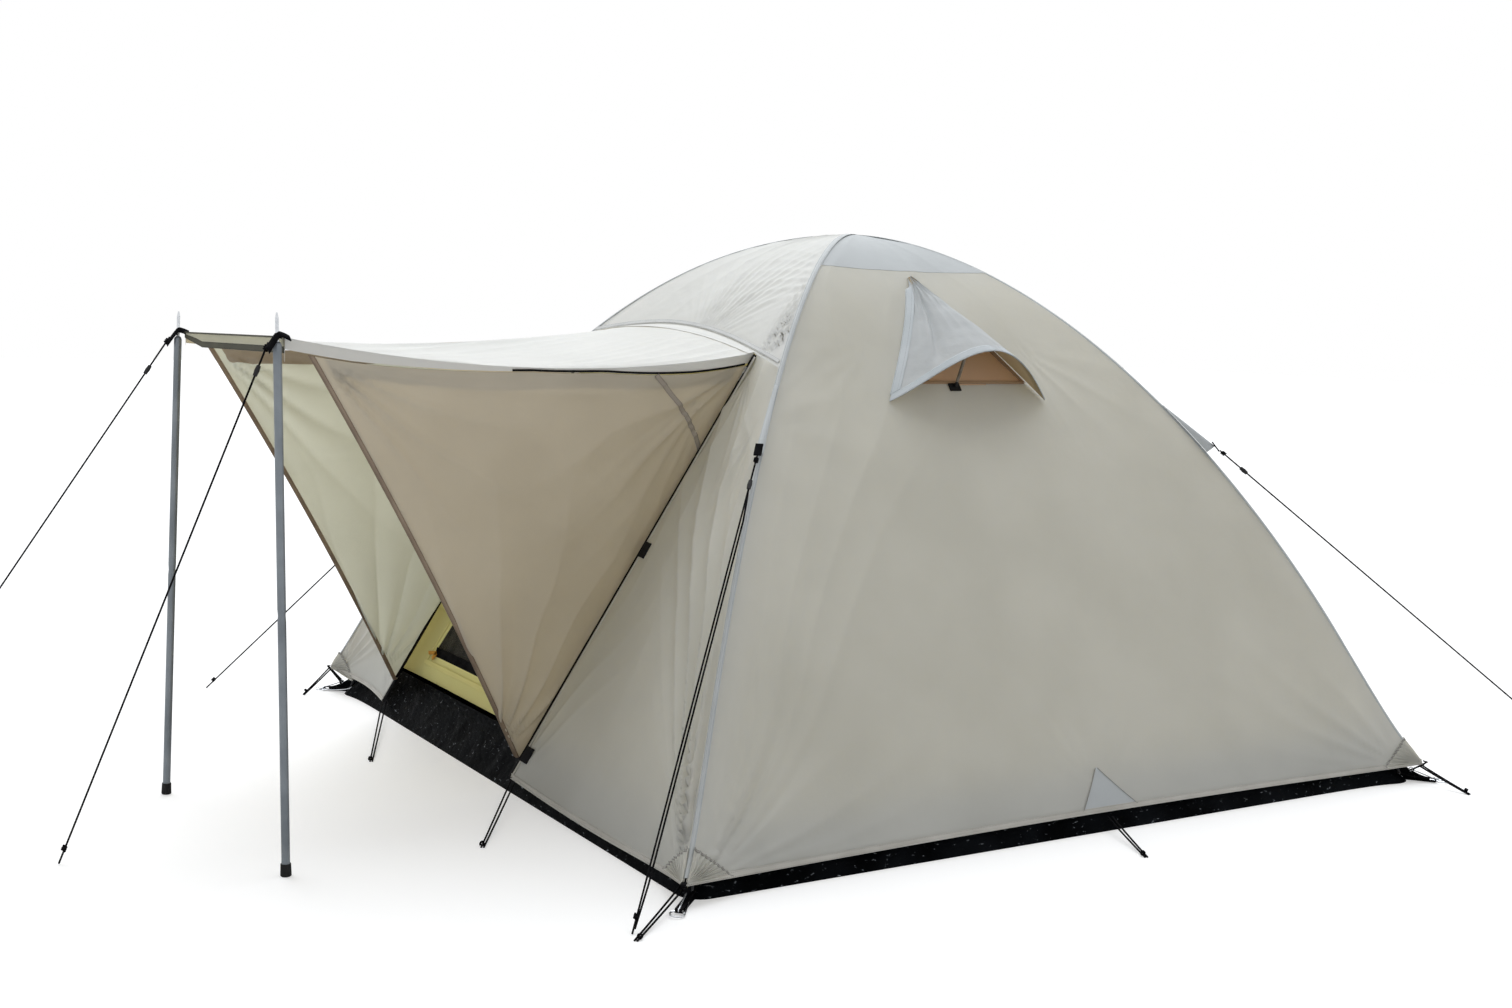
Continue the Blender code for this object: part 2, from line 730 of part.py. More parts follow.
def front_panel_skin(side):
    inset = ZIP_WIDTH / 2 + GAP
    edge_share = seam_share(ZIP_TOP_X[side])
    ridge_share = {"near": 1.0, "far": 0.0}[side]

    def skin(across, down):
        climb = down * (1 - 2 * GAP)
        ridge, tape = panel_edge(side, climb), zip_at(side, climb)
        run = tape - ridge
        place = (SEAM + (run.length - SEAM - inset) * across) / run.length
        point = ridge + run * place
        top_run = zip_at(side, 1) - panel_edge(side, 1)
        straight = panel_edge(side, 1) + top_run * place
        curved = seam_at(ridge_share + (edge_share - ridge_share) * place)
        return point + (curved - straight) * climb**4

    return skin


def make_front():
    """Yoke over the entrance, and the panels between the zips and the ridges."""
    def yoke(across, down):
        bottom = seam_at(across).z
        height = row_height(down, bottom, FLY_HEIGHT)
        return wall_at("left", "near", across, height, dip=0.0)

    thick_sheet("fly_front_yoke", yoke, shrunk(yoke, FLY_HALF, FLY_HEIGHT), 10, 8, "fly_cloth")
    for side in ("near", "far"):
        skin = front_panel_skin(side)
        lining = shrunk(skin, FLY_HALF, FLY_HEIGHT)
        thick_sheet(f"fly_front_{side}", skin, lining, 5, 14, "fly_cloth")


def make_zip(side):
    """Zip tape beside its panel, and a slider near its top with a hanging puller."""
    def tape(across, down):
        climb = 0.002 + 0.996 * down
        offset = (across - 0.5) * (ZIP_WIDTH - 2 * GAP)
        return zip_at(side, climb) + zip_side(side, climb) * offset

    lining = shrunk(tape, FLY_HALF, FLY_HEIGHT, ZIP_THICK)
    thick_sheet(f"zip_{side}", tape, lining, 1, 10, "black_plastic")
    foot, top = zip_line(side)
    along = (top - foot).normalized()
    climb = 1 - SLIDER_DROP / (top - foot).length
    normal = zip_face(side, climb)
    width, length, tall = SLIDER_SIZE
    centre = zip_at(side, climb) + zip_side(side, climb) * SLIDER_SHIFT + normal * (3 * GAP + tall / 2)
    turn = axes_from(along, normal)
    slider = box(f"zip_slider_{side}", centre, (width, length, tall), turn, "bright_wire")
    hang = centre - along * (length / 2 + PULLER_LENGTH / 2 - PULLER_THICK) + normal * (PULLER_THICK / 2)
    puller = box(f"puller_{side}", hang, (width / 2, PULLER_LENGTH, PULLER_THICK), turn, "bright_wire")
    cut(slider, puller, "UNION")


def tip_at(side):
    x, out, height = TIP[side]
    return Vector((x, -(FLY_HALF + out), height))


def tab_height(side):
    """Underside of the tab that lies on an upright's domed end."""
    rise = math.sqrt(UPRIGHT_RADIUS**2 - TAB_HOLE**2)
    return tip_at(side).z - UPRIGHT_RADIUS + rise + GAP


def roof_corner(side):
    """Front corner of the awning's roof, under the rear end of the tab."""
    other = {"near": "far", "far": "near"}[side]
    inward = Vector(((tip_at(other) - tip_at(side)).x * 0.4, zip_line(side)[1].y - tip_at(side).y, 0))
    corner = tip_at(side) + inward.normalized() * (TAB_REACH - ROOF_LAP)
    return Vector((corner.x, corner.y, tab_height(side) - GAP))


def roof_edge(side, out):
    """Side edge of the awning's roof; out runs from 0 at the yoke seam to 1 at the front corner."""
    start = zip_at(side, 1) - zip_side(side, 1) * (ZIP_WIDTH / 2 + GAP) + Vector((0, -2 * GAP, -GAP))
    return start.lerp(roof_corner(side), out) - UP * (EDGE_SAG[side] * 4 * out * (1 - out))


def strip_foot(side, out, below=0.0):
    """Lower edge of the strip that hangs from the roof's side edge; it starts on the zip's line."""
    foot, top = zip_line(side)
    down = (foot - top).normalized() * (STRIP_DROP + below)
    hang = -UP * (STRIP_DROP * (1 - 0.7 * out**4) + below)
    blend = min(1.0, out / 0.15)
    return roof_edge(side, out) + down.lerp(hang, blend)


def roof_skin(across, down):
    """Awning roof: first and last columns hang as side strips, and the last row hangs as the hem."""
    place = (across * ROOF_COLUMNS - 1) / (ROOF_COLUMNS - 2)
    out = min(1.0, down * ROOF_ROWS / (ROOF_ROWS - 1))
    hem = max(0.0, down * ROOF_ROWS - (ROOF_ROWS - 1))
    inner = min(1.0, max(0.0, place))
    far, near = roof_edge("far", out), roof_edge("near", out)
    shares = seam_share(far.x), seam_share(near.x)
    seam = seam_at(shares[0] + (shares[1] - shares[0]) * inner)
    chord = zip_at("far", 1).lerp(zip_at("near", 1), inner)
    lift = (seam - chord) * (1 - out) ** 3
    point = far.lerp(near, inner) + Vector((0, min(0, lift.y), lift.z))
    point -= UP * (ROOF_SAG * 4 * inner * (1 - inner) * 4 * out * (1 - out) * 0.5)
    for side, over in (("far", max(0.0, -place)), ("near", max(0.0, place - 1))):
        fold = over * (ROOF_COLUMNS - 2)
        point = point + (strip_foot(side, out) - roof_edge(side, out)) * min(1.0, fold)
    return point - UP * (HEM_DROP * hem * math.sin(math.pi * (0.08 + 0.84 * inner)))


def make_awning():
    thick_sheet("awning_roof", roof_skin, backed(roof_skin, CLOTH), ROOF_COLUMNS, ROOF_ROWS, "fly_cloth")
    for side in ("near", "far"):
        skin = wing_skin(side)
        inward = -CLOTH if side == "near" else CLOTH
        thick_sheet(f"wing_{side}", skin, backed(skin, inward), 10, 10, "awning_cloth")


def wing_skin(side):
    """Awning side: a triangle between the zip, the roof's side strip and its own free edge."""
    foot, top = zip_line(side)
    lowest = (WING_FOOT_HEIGHT[side] - foot.z) / (top.z - foot.z)
    highest = 1 - (STRIP_DROP + WING_GAP) / (top - foot).length

    def root(down):
        climb = highest + (lowest - highest) * down
        return zip_at(side, climb) - zip_side(side, climb) * (ZIP_WIDTH / 2 + GAP) - Vector((0, GAP, 0))

    lip_top = strip_foot(side, WING_REACH, WING_GAP)
    lip_foot = root(1) + (lip_top - root(0)).normalized() * WING_FOOT_WIDTH

    def skin(across, down):
        flat_top = root(0).lerp(lip_top, across)
        hung_top = strip_foot(side, WING_REACH * across, WING_GAP)
        return root(down).lerp(lip_top.lerp(lip_foot, down), across) + (hung_top - flat_top) * (1 - down)

    return skin


def make_upright(side):
    """Grey tube with a domed end, a spike in it and a rubber foot on it; all swing about the dome."""
    x, out = FOOT[side]
    ground = Vector((x, -(FLY_HALF + out), 0))
    axis = (tip_at(side) - ground).normalized()
    pivot = tip_at(side) - UP * UPRIGHT_RADIUS
    length = (pivot - ground).length
    radius = UPRIGHT_RADIUS
    sole = FOOT_SOLE + GAP + radius * axis.xy.length

    def at(height):
        return ground + axis * height

    neck = radius - UPRIGHT_SWAGE
    half = length * 0.5
    profile = [(sole, radius), (half - SWAGE_HALF, radius), (half, neck)]
    profile += [(half + SWAGE_HALF, radius), (length, radius)]
    for step in (30, 52):
        turn = math.radians(step)
        profile.append((length + radius * math.sin(turn), radius * math.cos(turn)))
    bore = SPIKE_RADIUS + GAP
    profile += [(length + math.sqrt(radius**2 - bore**2), bore), (length - SPIKE_DEPTH - GAP, bore)]
    tube = swept(f"upright_{side}", [(at(h), axis, r) for h, r in profile], "grey_tube", pivot, 16)
    top = length + radius + SPIKE_ABOVE
    profile = [(length - SPIKE_DEPTH, SPIKE_RADIUS), (top - SPIKE_POINT, SPIKE_RADIUS), (top, SPIKE_RADIUS * 0.4)]
    spike = swept(f"spike_{side}", [(at(h), axis, r) for h, r in profile], "grey_tube", pivot, 12)
    outer, cup = radius + FOOT_WALL, sole - GAP
    lift = outer * axis.xy.length
    profile = [(lift, outer - FOOT_BEVEL), (lift + FOOT_BEVEL, outer), (FOOT_CUP, outer - FOOT_WALL * 0.3)]
    profile += [(FOOT_CUP, radius + GAP), (cup, radius + GAP)]
    foot = swept(f"foot_{side}", [(at(h), axis, r) for h, r in profile], "black_rubber", pivot, 16)
    hang_on(add_pivot(f"upright_{side}_pivot", pivot), tube, spike, foot)


def guy_direction(name, start):
    ground = Vector((*GUY_GROUND[name], LINE_RADIUS + GAP))
    return (ground - start).normalized()


def make_tip_tab(side):
    """Webbing tab over an upright's spike; the guyline starts under its front end."""
    tip = tip_at(side)
    ground = Vector((*GUY_GROUND[f"{side}_tip"], 0))
    rear = (roof_corner(side) - tip).xy.to_3d().normalized()
    front = (ground - tip).xy.to_3d().normalized()
    middle = Vector((tip.x, tip.y, tab_height(side) + TAB_THICK / 2))
    ends = []
    for direction, turn in ((rear, 1), (front, 1)):
        across = UP.cross(direction) * (TAB_WIDTH / 2)
        end = middle + direction * TAB_REACH
        ends += [end - across * turn, end + across * turn]
    side_axis = UP.cross(front) * (TAB_WIDTH / 2)
    outline = [ends[0], ends[1]]
    if (ends[1] - middle).dot(side_axis) > 0:
        outline += [middle + side_axis * TAB_SHOULDER, ends[3], ends[2], middle - side_axis * TAB_SHOULDER]
    else:
        outline += [middle - side_axis * TAB_SHOULDER, ends[2], ends[3], middle + side_axis * TAB_SHOULDER]
    tab = plate(f"tip_webbing_{side}", outline, UP, TAB_THICK, "black_cord")
    drill = swept(f"tab_hole_{side}", [(middle - UP * 0.01, UP, TAB_HOLE), (middle + UP * 0.01, UP, TAB_HOLE)],
                  "black_cord", sides=16)
    cut(tab, drill)
    start = middle + front * (TAB_REACH - TAB_LINE_LAP) - UP * (TAB_THICK / 2 + GAP)
    return start - UP * (LINE_RADIUS * 0.8)


def flap_tip(corner):
    reach = FLY_HALF * ridge_reach(corner, FLAP_TIP_HEIGHT[corner] / FLY_HEIGHT)
    return diagonal(corner) * (reach + FLAP_STANDOFF[corner]) + UP * FLAP_TIP_HEIGHT[corner]


def make_ridge_flap(corner):
    """Cloth beak on the ridge with a webbing end; the guyline starts at that end's edge."""
    outward = diagonal(corner).normalized()
    tip = flap_tip(corner)
    bottom = tip.z - FLAP_DEPTH
    base = []
    for step in range(7):
        height = FLAP_TOP[corner] + (bottom - FLAP_TOP[corner]) * step / 6
        base.append(ridge_at(corner, height) + outward * (SEAM + GAP))
    pull = outward - UP * FLAP_SLOPE
    if f"{corner}_ridge" in GUY_GROUND:
        pull = guy_direction(f"{corner}_ridge", tip)
    pull = (outward * pull.dot(outward) + UP * pull.z).normalized()
    lift = pull.cross(UP.cross(outward)) * (FLAP_TAB_WIDTH / 2)
    end = tip + pull * FLAP_TAB
    if lift.z < 0:
        lift = -lift
    outline = base + [end - lift, end + lift, base[0] + (tip - base[0]) * FLAP_BROW]
    plate(f"ridge_flap_{corner}", outline, UP.cross(outward), FLAP_THICK, "fly_cloth")
    return end + pull * 2 * GAP


def cord(name, points, radius):
    """Round cord as a curve with closed ends."""
    curve = bpy.data.curves.new(name, "CURVE")
    curve.dimensions = "3D"
    curve.bevel_depth = radius
    curve.bevel_resolution = 2
    curve.use_fill_caps = True
    spline = curve.splines.new("POLY")
    spline.points.add(len(points) - 1)
    for point, place in zip(spline.points, points):
        point.co = (*place, 1)
    curve.materials.append(finish("black_cord"))
    made = bpy.data.objects.new(name, curve)
    bpy.context.scene.collection.objects.link(made)
    return made


def straight_cord(name, start, end, radius, pieces=8):
    return cord(name, [start.lerp(end, step / pieces) for step in range(pieces + 1)], radius)


def make_guyline(name, start):
    """Taut line from its fitting to the ground, with a runner threaded on it near the top."""
    ground = Vector((*GUY_GROUND[name], LINE_RADIUS + GAP))
    straight_cord(f"guyline_{name}", start, ground, LINE_RADIUS)
    along = guy_direction(name, start)
    middle = start + along * RUNNER_DISTANCE[name]
    ends = [middle - along * (RUNNER_LENGTH / 2), middle + along * (RUNNER_LENGTH / 2)]
    squeeze = RUNNER_HALF_THICK / RUNNER_HALF_WIDTH
    stations = [(ends[0], along, RUNNER_HALF_WIDTH * 0.8), (middle, along, RUNNER_HALF_WIDTH)]
    stations += [(ends[1], along, RUNNER_HALF_WIDTH * 0.8), (ends[1], along, RUNNER_BORE)]
    stations += [(ends[0], along, RUNNER_BORE)]
    flat = [squeeze, squeeze, squeeze, 1.0, 1.0]
    swept(f"runner_{name}", stations, "black_plastic", middle, 12, closed=True, flat=flat)


def make_ground_loop(name, start):
    """Short pegging cord from under the hem down to the ground, bent over where it meets it."""
    ground = Vector((*LOOP_GROUND[name], LOOP_RADIUS + GAP))
    run = ground - start
    points = [start, start + run * 0.35 - UP * 0.001, start + run * 0.7 - UP * 0.001, ground]
    cord(f"ground_loop_{name}", smooth_line(points, 3), LOOP_RADIUS)


def corner_loop_start(corner):
    """Under the hem, beside the corner on the side that the loop leaves by."""
    ground = LOOP_GROUND[f"{corner}_corner"]
    place = ridge_at(corner, HEM_HEIGHT) - diagonal(corner) * (CLOTH / 2)
    aside = 0 if abs(ground[1]) > abs(ground[0]) else 1
    place[aside] -= math.copysign(LOOP_ASIDE, place[aside])
    return place


def make_lines():
    starts = {"near_tip": make_tip_tab("near"), "far_tip": make_tip_tab("far")}
    for corner in CORNERS:
        start = make_ridge_flap(corner)
        if f"{corner}_ridge" in GUY_GROUND:
            starts[f"{corner}_ridge"] = start
    for name, start in starts.items():
        make_guyline(name, start)
    below = -UP * (LOOP_RADIUS + GAP)
    for side in ("near", "far"):
        aside = zip_side(side, 0) * (ZIP_WIDTH / 2 + 2 * LOOP_RADIUS)
        start = zip_at(side, 0) + aside + Vector((0, CLOTH / 2, 0)) + below
        make_ground_loop(f"{side}_zip", start)
    place = wall_at("near", "right", 0.5 + SIDE_LOOP_Y / (2 * FLY_HALF), HEM_HEIGHT)
    make_ground_loop("side", place - Vector((CLOTH / 2, 0, 0)) + below)
    for corner in ("near", "right", "left"):
        make_ground_loop(f"{corner}_corner", corner_loop_start(corner) + below)


def right_wall_x(y, height):
    """x of the right wall's outer face at a given y and height."""
    near, right = ridge_at("near", height), ridge_at("right", height)
    return wall_at("near", "right", (y - near.y) / (right.y - near.y), height).x


def hood_skin(across, down):
    """Vent hood: from a narrow top on the wall out to an arched lip."""
    reach = HOOD_START + (1 - HOOD_START) * down
    arch = math.sin(math.pi * across)
    lip_y = VENT_TIPS[0] + (VENT_TIPS[1] - VENT_TIPS[0]) * across
    lip_z = VENT_TIP_HEIGHT + VENT_LIP_RISE * arch
    y = VENT_TOP[0] + (lip_y - VENT_TOP[0]) * reach
    height = VENT_TOP[1] + (lip_z - VENT_TOP[1]) * reach
    lift = HOOD_SEAT + (VENT_DEPTH - HOOD_SEAT) * arch * reach
    return Vector((right_wall_x(y, height) + lift, y, height))


def make_right_side():
    """Right wall with the vent's hole, the hood over it and the prop that holds the hood out."""
    wall = fly_wall("fly_right", "near", "right")
    outline = []
    for step in range(13):
        turn = math.pi * step / 12
        y = VENT_HOLE_MIDDLE + VENT_HOLE_HALF * math.cos(turn)
        outline.append(Vector((FLY_HALF / 2, y, VENT_HOLE_SILL + VENT_HOLE_HEIGHT * math.sin(turn))))
    cut(wall, plate("vent_hole", outline, Vector((1, 0, 0)), FLY_HALF * 0.9, "fly_cloth"))
    lining = backed(hood_skin, CLOTH)
    thick_sheet("vent_hood", hood_skin, lining, 12, 8, "fly_cloth")
    hinge = lining(*PROP_PLACE)
    hinge = hinge - Vector((PROP_LEAN, 0, 1)).normalized() * (PROP_RADIUS + PROP_ROOM)
    pad_y, pad_z = PROP_END
    pad_depth = PROP_PAD[2]
    wall_run = Vector((right_wall_x(pad_y, pad_z + 0.02) - right_wall_x(pad_y, pad_z - 0.02), 0, 0.04))
    normal = Vector((0, 1, 0)).cross(wall_run).normalized()
    seat = Vector((right_wall_x(pad_y, pad_z), pad_y, pad_z)) + normal * (PROP_ROOM + pad_depth / 2)
    foot = seat + normal * (pad_depth / 2 + PROP_RADIUS * 0.5)
    points = smooth_line([hinge, hinge.lerp(foot, 0.5), foot], 3)
    prop = swept("vent_prop", wire_stations(points, PROP_RADIUS), "black_plastic", hinge, 8)
    pad = box("prop_pad", seat, PROP_PAD, axes_from(wall_run, normal), "black_plastic")
    cut(prop, pad, "UNION")
    return hinge


def build_tent():
    clear_scene()
    for corner, (foot, inward) in make_frame().items():
        make_end_pin(corner, foot, inward)
        make_fly_hook(corner)
    make_tub()
    make_inner_tent()
    make_right_side()
    fly_wall("fly_rear", "right", "far")
    fly_wall("fly_left", "far", "left")
    make_front()
    make_awning()
    for side in ("near", "far"):
        make_zip(side)
        make_upright(side)
    make_lines()


build_tent()
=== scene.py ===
import math

import bmesh
import bpy
from mathutils import Matrix, Vector, noise


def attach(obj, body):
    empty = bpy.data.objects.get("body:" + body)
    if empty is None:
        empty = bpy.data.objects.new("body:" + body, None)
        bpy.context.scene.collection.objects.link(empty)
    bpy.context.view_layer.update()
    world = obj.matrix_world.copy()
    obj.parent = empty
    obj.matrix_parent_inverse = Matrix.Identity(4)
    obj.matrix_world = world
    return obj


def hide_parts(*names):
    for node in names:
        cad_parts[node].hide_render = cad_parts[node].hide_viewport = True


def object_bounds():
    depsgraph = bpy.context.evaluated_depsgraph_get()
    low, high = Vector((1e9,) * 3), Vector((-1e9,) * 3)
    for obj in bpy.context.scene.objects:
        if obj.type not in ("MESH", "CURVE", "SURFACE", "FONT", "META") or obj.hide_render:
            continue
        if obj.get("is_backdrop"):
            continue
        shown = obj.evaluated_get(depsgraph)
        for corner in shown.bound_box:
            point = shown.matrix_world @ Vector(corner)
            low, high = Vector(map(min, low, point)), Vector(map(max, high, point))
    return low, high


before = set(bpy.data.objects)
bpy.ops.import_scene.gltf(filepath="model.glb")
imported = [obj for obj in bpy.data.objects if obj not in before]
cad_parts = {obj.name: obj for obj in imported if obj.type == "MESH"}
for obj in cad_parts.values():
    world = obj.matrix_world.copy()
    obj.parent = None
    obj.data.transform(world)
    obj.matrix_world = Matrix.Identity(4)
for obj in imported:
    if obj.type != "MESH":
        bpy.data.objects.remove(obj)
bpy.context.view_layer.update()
UP = Vector((0, 0, 1))


# The camera stands off the near corner, a little below the awning, as the tent was photographed.
# Its place, turn and lens follow from the base corners, the ridges and the two uprights.
CAMERA_PLACE = Vector((3.940, -2.673, 1.141))
CAMERA_YAW, CAMERA_PITCH, CAMERA_ROLL = (math.radians(turn) for turn in (-58.7625, -6.1565, 1.5130))
LENS_MM = 41.909


def new_object(name, data):
    made = bpy.data.objects.new(name, data)
    bpy.context.scene.collection.objects.link(made)
    return made


ahead = Vector((math.cos(CAMERA_PITCH) * math.sin(CAMERA_YAW),
                math.cos(CAMERA_PITCH) * math.cos(CAMERA_YAW), math.sin(CAMERA_PITCH)))
level = Vector((math.cos(CAMERA_YAW), -math.sin(CAMERA_YAW), 0))
rolled = level * math.cos(CAMERA_ROLL) + level.cross(ahead) * math.sin(CAMERA_ROLL)
camera_data = bpy.data.cameras.new("camera")
camera_data.lens = LENS_MM
camera = new_object("camera", camera_data)
camera.matrix_world = Matrix((rolled, rolled.cross(ahead), -ahead)).transposed().to_4x4()
camera.location = CAMERA_PLACE
bpy.context.scene.camera = camera


# Five guylines of 4 mm black braided cord hold the awning's tips and the ridges.
# Each is tied at its fitting, runs taut through a moulded runner and ends in a knot on the ground.
CORD_DIAMETER, DOUBLE_LINE, KNOT_STEPS = 0.0040, 0.0066, 14
TOP_KNOT, GROUND_KNOT, KNOT_LIFT, RETURN_KNOT = 0.012, 0.030, 0.004, 0.088
GUYLINES = {
    "near_tip": (Vector((0.534206, -1.717405, 1.06202)), Vector((0.270, -2.070, 0.0019))),
    "far_tip": (Vector((-0.16421, -1.744229, 1.05502)), Vector((-0.361, -2.395, 0.0019))),
    "near_ridge": (Vector((0.71986, -0.71986, 0.83999)), Vector((1.154, -1.225, 0.0019))),
    "left_ridge": (Vector((-0.715109, -0.715109, 0.850407)), Vector((-1.260, -1.400, 0.0019))),
    "right_ridge": (Vector((0.689991, 0.689991, 0.823575)), Vector((1.320, 1.500, 0.0019))),
}


def node(tree, kind, inputs, **settings):
    made = tree.nodes.new(f"ShaderNode{kind}")
    for key, value in settings.items():
        setattr(made, key, value)
    for key, value in inputs.items():
        if isinstance(value, bpy.types.NodeSocket):
            tree.links.new(value, made.inputs[key])
        else:
            made.inputs[key].default_value = value
    return made


def reckon(tree, operation, *values):
    return node(tree, "Math", dict(enumerate(values)), operation=operation).outputs[0]


def material(name, colours, cloud, roughness, detail=4.0, metallic=0.0, shine=0.5):
    """A material with a cloudy blend of two colours; also its tree, shader, coordinates and blend."""
    made = bpy.data.materials.new(name)
    made.use_nodes = True
    tree = made.node_tree
    shader = tree.nodes["Principled BSDF"]
    for socket, value in (("Roughness", roughness), ("Metallic", metallic), ("Specular IOR Level", shine)):
        shader.inputs[socket].default_value = value
    coords = node(tree, "TexCoord", {}).outputs
    clouds = node(tree, "TexNoise", {"Vector": coords["Object"], "Scale": cloud, "Detail": detail})
    ramp = node(tree, "ValToRGB", {"Fac": clouds.outputs["Fac"]})
    for stop, place, colour in zip(ramp.color_ramp.elements, (0.36, 0.64), colours):
        stop.position = place
        stop.color = (*colour, 1.0)
    tint = ramp.outputs["Color"]
    tree.links.new(tint, shader.inputs["Base Color"])
    return made, tree, shader, coords, tint


def bumps(tree, shader, layers):
    """Chain of bump nodes; each layer is a height socket, its strength and its depth in metres."""
    below = None
    for height, strength, depth in layers:
        inputs = {"Height": height, "Strength": strength, "Distance": depth}
        if below is not None:
            inputs["Normal"] = below
        below = node(tree, "Bump", inputs).outputs["Normal"]
    tree.links.new(below, shader.inputs["Normal"])


def braided(name, colours, scale):
    """Braided cord or woven band: crossed diagonal ribs."""
    made, tree, shader, coords, tint = material(name, colours, scale * 0.12, 0.82, shine=0.03)
    ribs = []
    for turn in (0.9, -0.9):
        turned = node(tree, "Mapping", {"Vector": coords["Object"], "Rotation": (turn, turn * 0.7, turn)})
        wave = node(tree, "TexWave", {"Vector": turned.outputs[0], "Scale": scale}, bands_direction="DIAGONAL")
        ribs.append((wave.outputs["Fac"], 0.5, 0.0004))
    bumps(tree, shader, ribs)
    return made


def add_piece(name, mesh_data, finishes, body="tent"):
    mesh = bpy.data.meshes.new(name)
    mesh_data.to_mesh(mesh)
    mesh_data.free()
    mesh.shade_smooth()
    for finish in finishes:
        mesh.materials.append(finish)
    made = new_object(name, mesh)
    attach(made, body)
    return made


def strand(top, foot, sag=0.0):
    """Points of one run of cord."""
    return [top.lerp(foot, step / 8) - UP * (sag * step / 8 * (1 - step / 8)) for step in range(9)]


def cord_piece(name, points, diameter, finish):
    curve = bpy.data.curves.new(name, "CURVE")
    curve.dimensions = "3D"
    curve.bevel_depth = diameter / 2
    curve.bevel_resolution = 3
    curve.use_fill_caps = True
    spline = curve.splines.new("POLY")
    spline.points.add(len(points) - 1)
    for point, place in zip(spline.points, points):
        point.co = (*place, 1)
    curve.materials.append(finish)
    made = new_object(name, curve)
    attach(made, "tent")
    return made


def declare_cord(points):
    length = sum((after - before).length for before, after in zip(points, points[1:]))
    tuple(points[0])


def wound_knot(name, place, along, wire, turns=2.5):
    """Barrel knot: a few turns of the cord wound round its own run."""
    axis = along.normalized()
    side = axis.orthogonal().normalized()
    coil = bmesh.new()
    start = place + side * wire * 1.9 - axis * (wire * turns)
    facing = Matrix((side, axis, side.cross(axis))).transposed().to_4x4()
    bmesh.ops.create_circle(coil, segments=8, radius=wire, cap_ends=False,
                            matrix=Matrix.Translation(start) @ facing)
    steps = int(turns * KNOT_STEPS)
    bmesh.ops.spin(coil, geom=coil.verts[:] + coil.edges[:], cent=place, axis=axis, angle=turns * 2 * math.pi,
                   steps=steps, dvec=axis * (wire * 2 * turns / steps))
    bmesh.ops.holes_fill(coil, edges=[edge for edge in coil.edges if edge.is_boundary])
    bmesh.ops.recalc_face_normals(coil, faces=coil.faces)
    return add_piece(name, coil, [black_braid])


black_braid = braided("black_braid", ((0.003, 0.003, 0.004), (0.012, 0.012, 0.013)), 420)
for name, (start, ground) in GUYLINES.items():
    along = (ground - start).normalized()
    points = strand(start, ground)
    line = cord_piece(f"guyline_{name}_cord", points, CORD_DIAMETER, black_braid)
    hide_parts(f"guyline_{name}")
    knots = [wound_knot(f"guyline_{name}_knot_{end}", place, along, CORD_DIAMETER / 2) for end, place in
             (("top", start + along * TOP_KNOT), ("ground", ground - along * GROUND_KNOT + UP * KNOT_LIFT))]
    declare_cord(points)

# Below its runner the near ridge's guyline is double, because it comes back up from the ground.
start, ground = GUYLINES["near_ridge"]
along = (ground - start).normalized()
aside = along.cross(UP).normalized() * DOUBLE_LINE
upper = start + along * RETURN_KNOT
returned = [upper, upper + along * 0.03 - aside * 0.5, upper + along * 0.08 - aside]
returned += [upper.lerp(ground, share) - aside for share in (0.3, 0.5, 0.7, 0.9)]
returned += [ground - along * 0.01 - aside * 0.4]
line = cord_piece("guyline_near_ridge_return", returned, CORD_DIAMETER, black_braid)
declare_cord(returned)


# Short pegging loops of 4.2 mm black cord are sewn under the hem at the zips, the corners and one side.
# Both ends of each loop go up to the hem, and the bight lies on the ground, where a peg would hold it.
LOOP_DIAMETER, LOOP_SPREAD, LOOP_SAG = 0.0042, 0.011, 0.004
BIGHT_KNOT, BIGHT_LIFT, BIGHT_TURNS = 0.012, 0.0035, 1.5
GROUND_LOOPS = {
    "near_zip": (Vector((0.1688, -1.04249, 0.0313)), Vector((0.542, -1.271, 0.0017))),
    "far_zip": (Vector((-0.7438, -1.042269, 0.0313)), Vector((-0.241, -1.248, 0.0017))),
    "near_corner": (Vector((1.03049, -1.04249, 0.0313)), Vector((1.190, -1.233, 0.0017))),
    "right_corner": (Vector((1.0750, 1.0670, 0.0440)), Vector((1.214, 1.077, 0.0017))),
    "left_corner": (Vector((-1.0820, -1.0880, 0.0680)), Vector((-1.056, -1.173, 0.0017))),
    "side": (Vector((1.038724, 0.038814, 0.0313)), Vector((1.233, -0.029, 0.0017))),
}

for name, (start, ground) in GROUND_LOOPS.items():
    run = ground - start
    aside = UP.cross(run).normalized() * LOOP_SPREAD
    if name.endswith("corner"):
        aside = -aside if (start + aside).xy.length > (start - aside).xy.length else aside
    knot = wound_knot(f"loop_{name}_knot", ground - run.normalized() * BIGHT_KNOT + UP * BIGHT_LIFT, run,
                      LOOP_DIAMETER / 2, BIGHT_TURNS)
    for side, top, foot in (("first", start, ground), ("second", start + aside, ground + aside * 0.5)):
        points = strand(top, foot, LOOP_SAG)
        line = cord_piece(f"loop_{name}_{side}", points, LOOP_DIAMETER, black_braid)
        declare_cord(points)
        if side == "first":
            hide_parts(f"ground_loop_{name}")


# Two arched poles of dark glass fibre cross under the apex. Wire pins in their ends carry the rings
# that the tub's straps hold, and wire hooks on the flysheet's corners drop over the same rings.
def dress(finish, *names):
    for name in names:
        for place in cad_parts[name].material_slots:
            place.material = finish


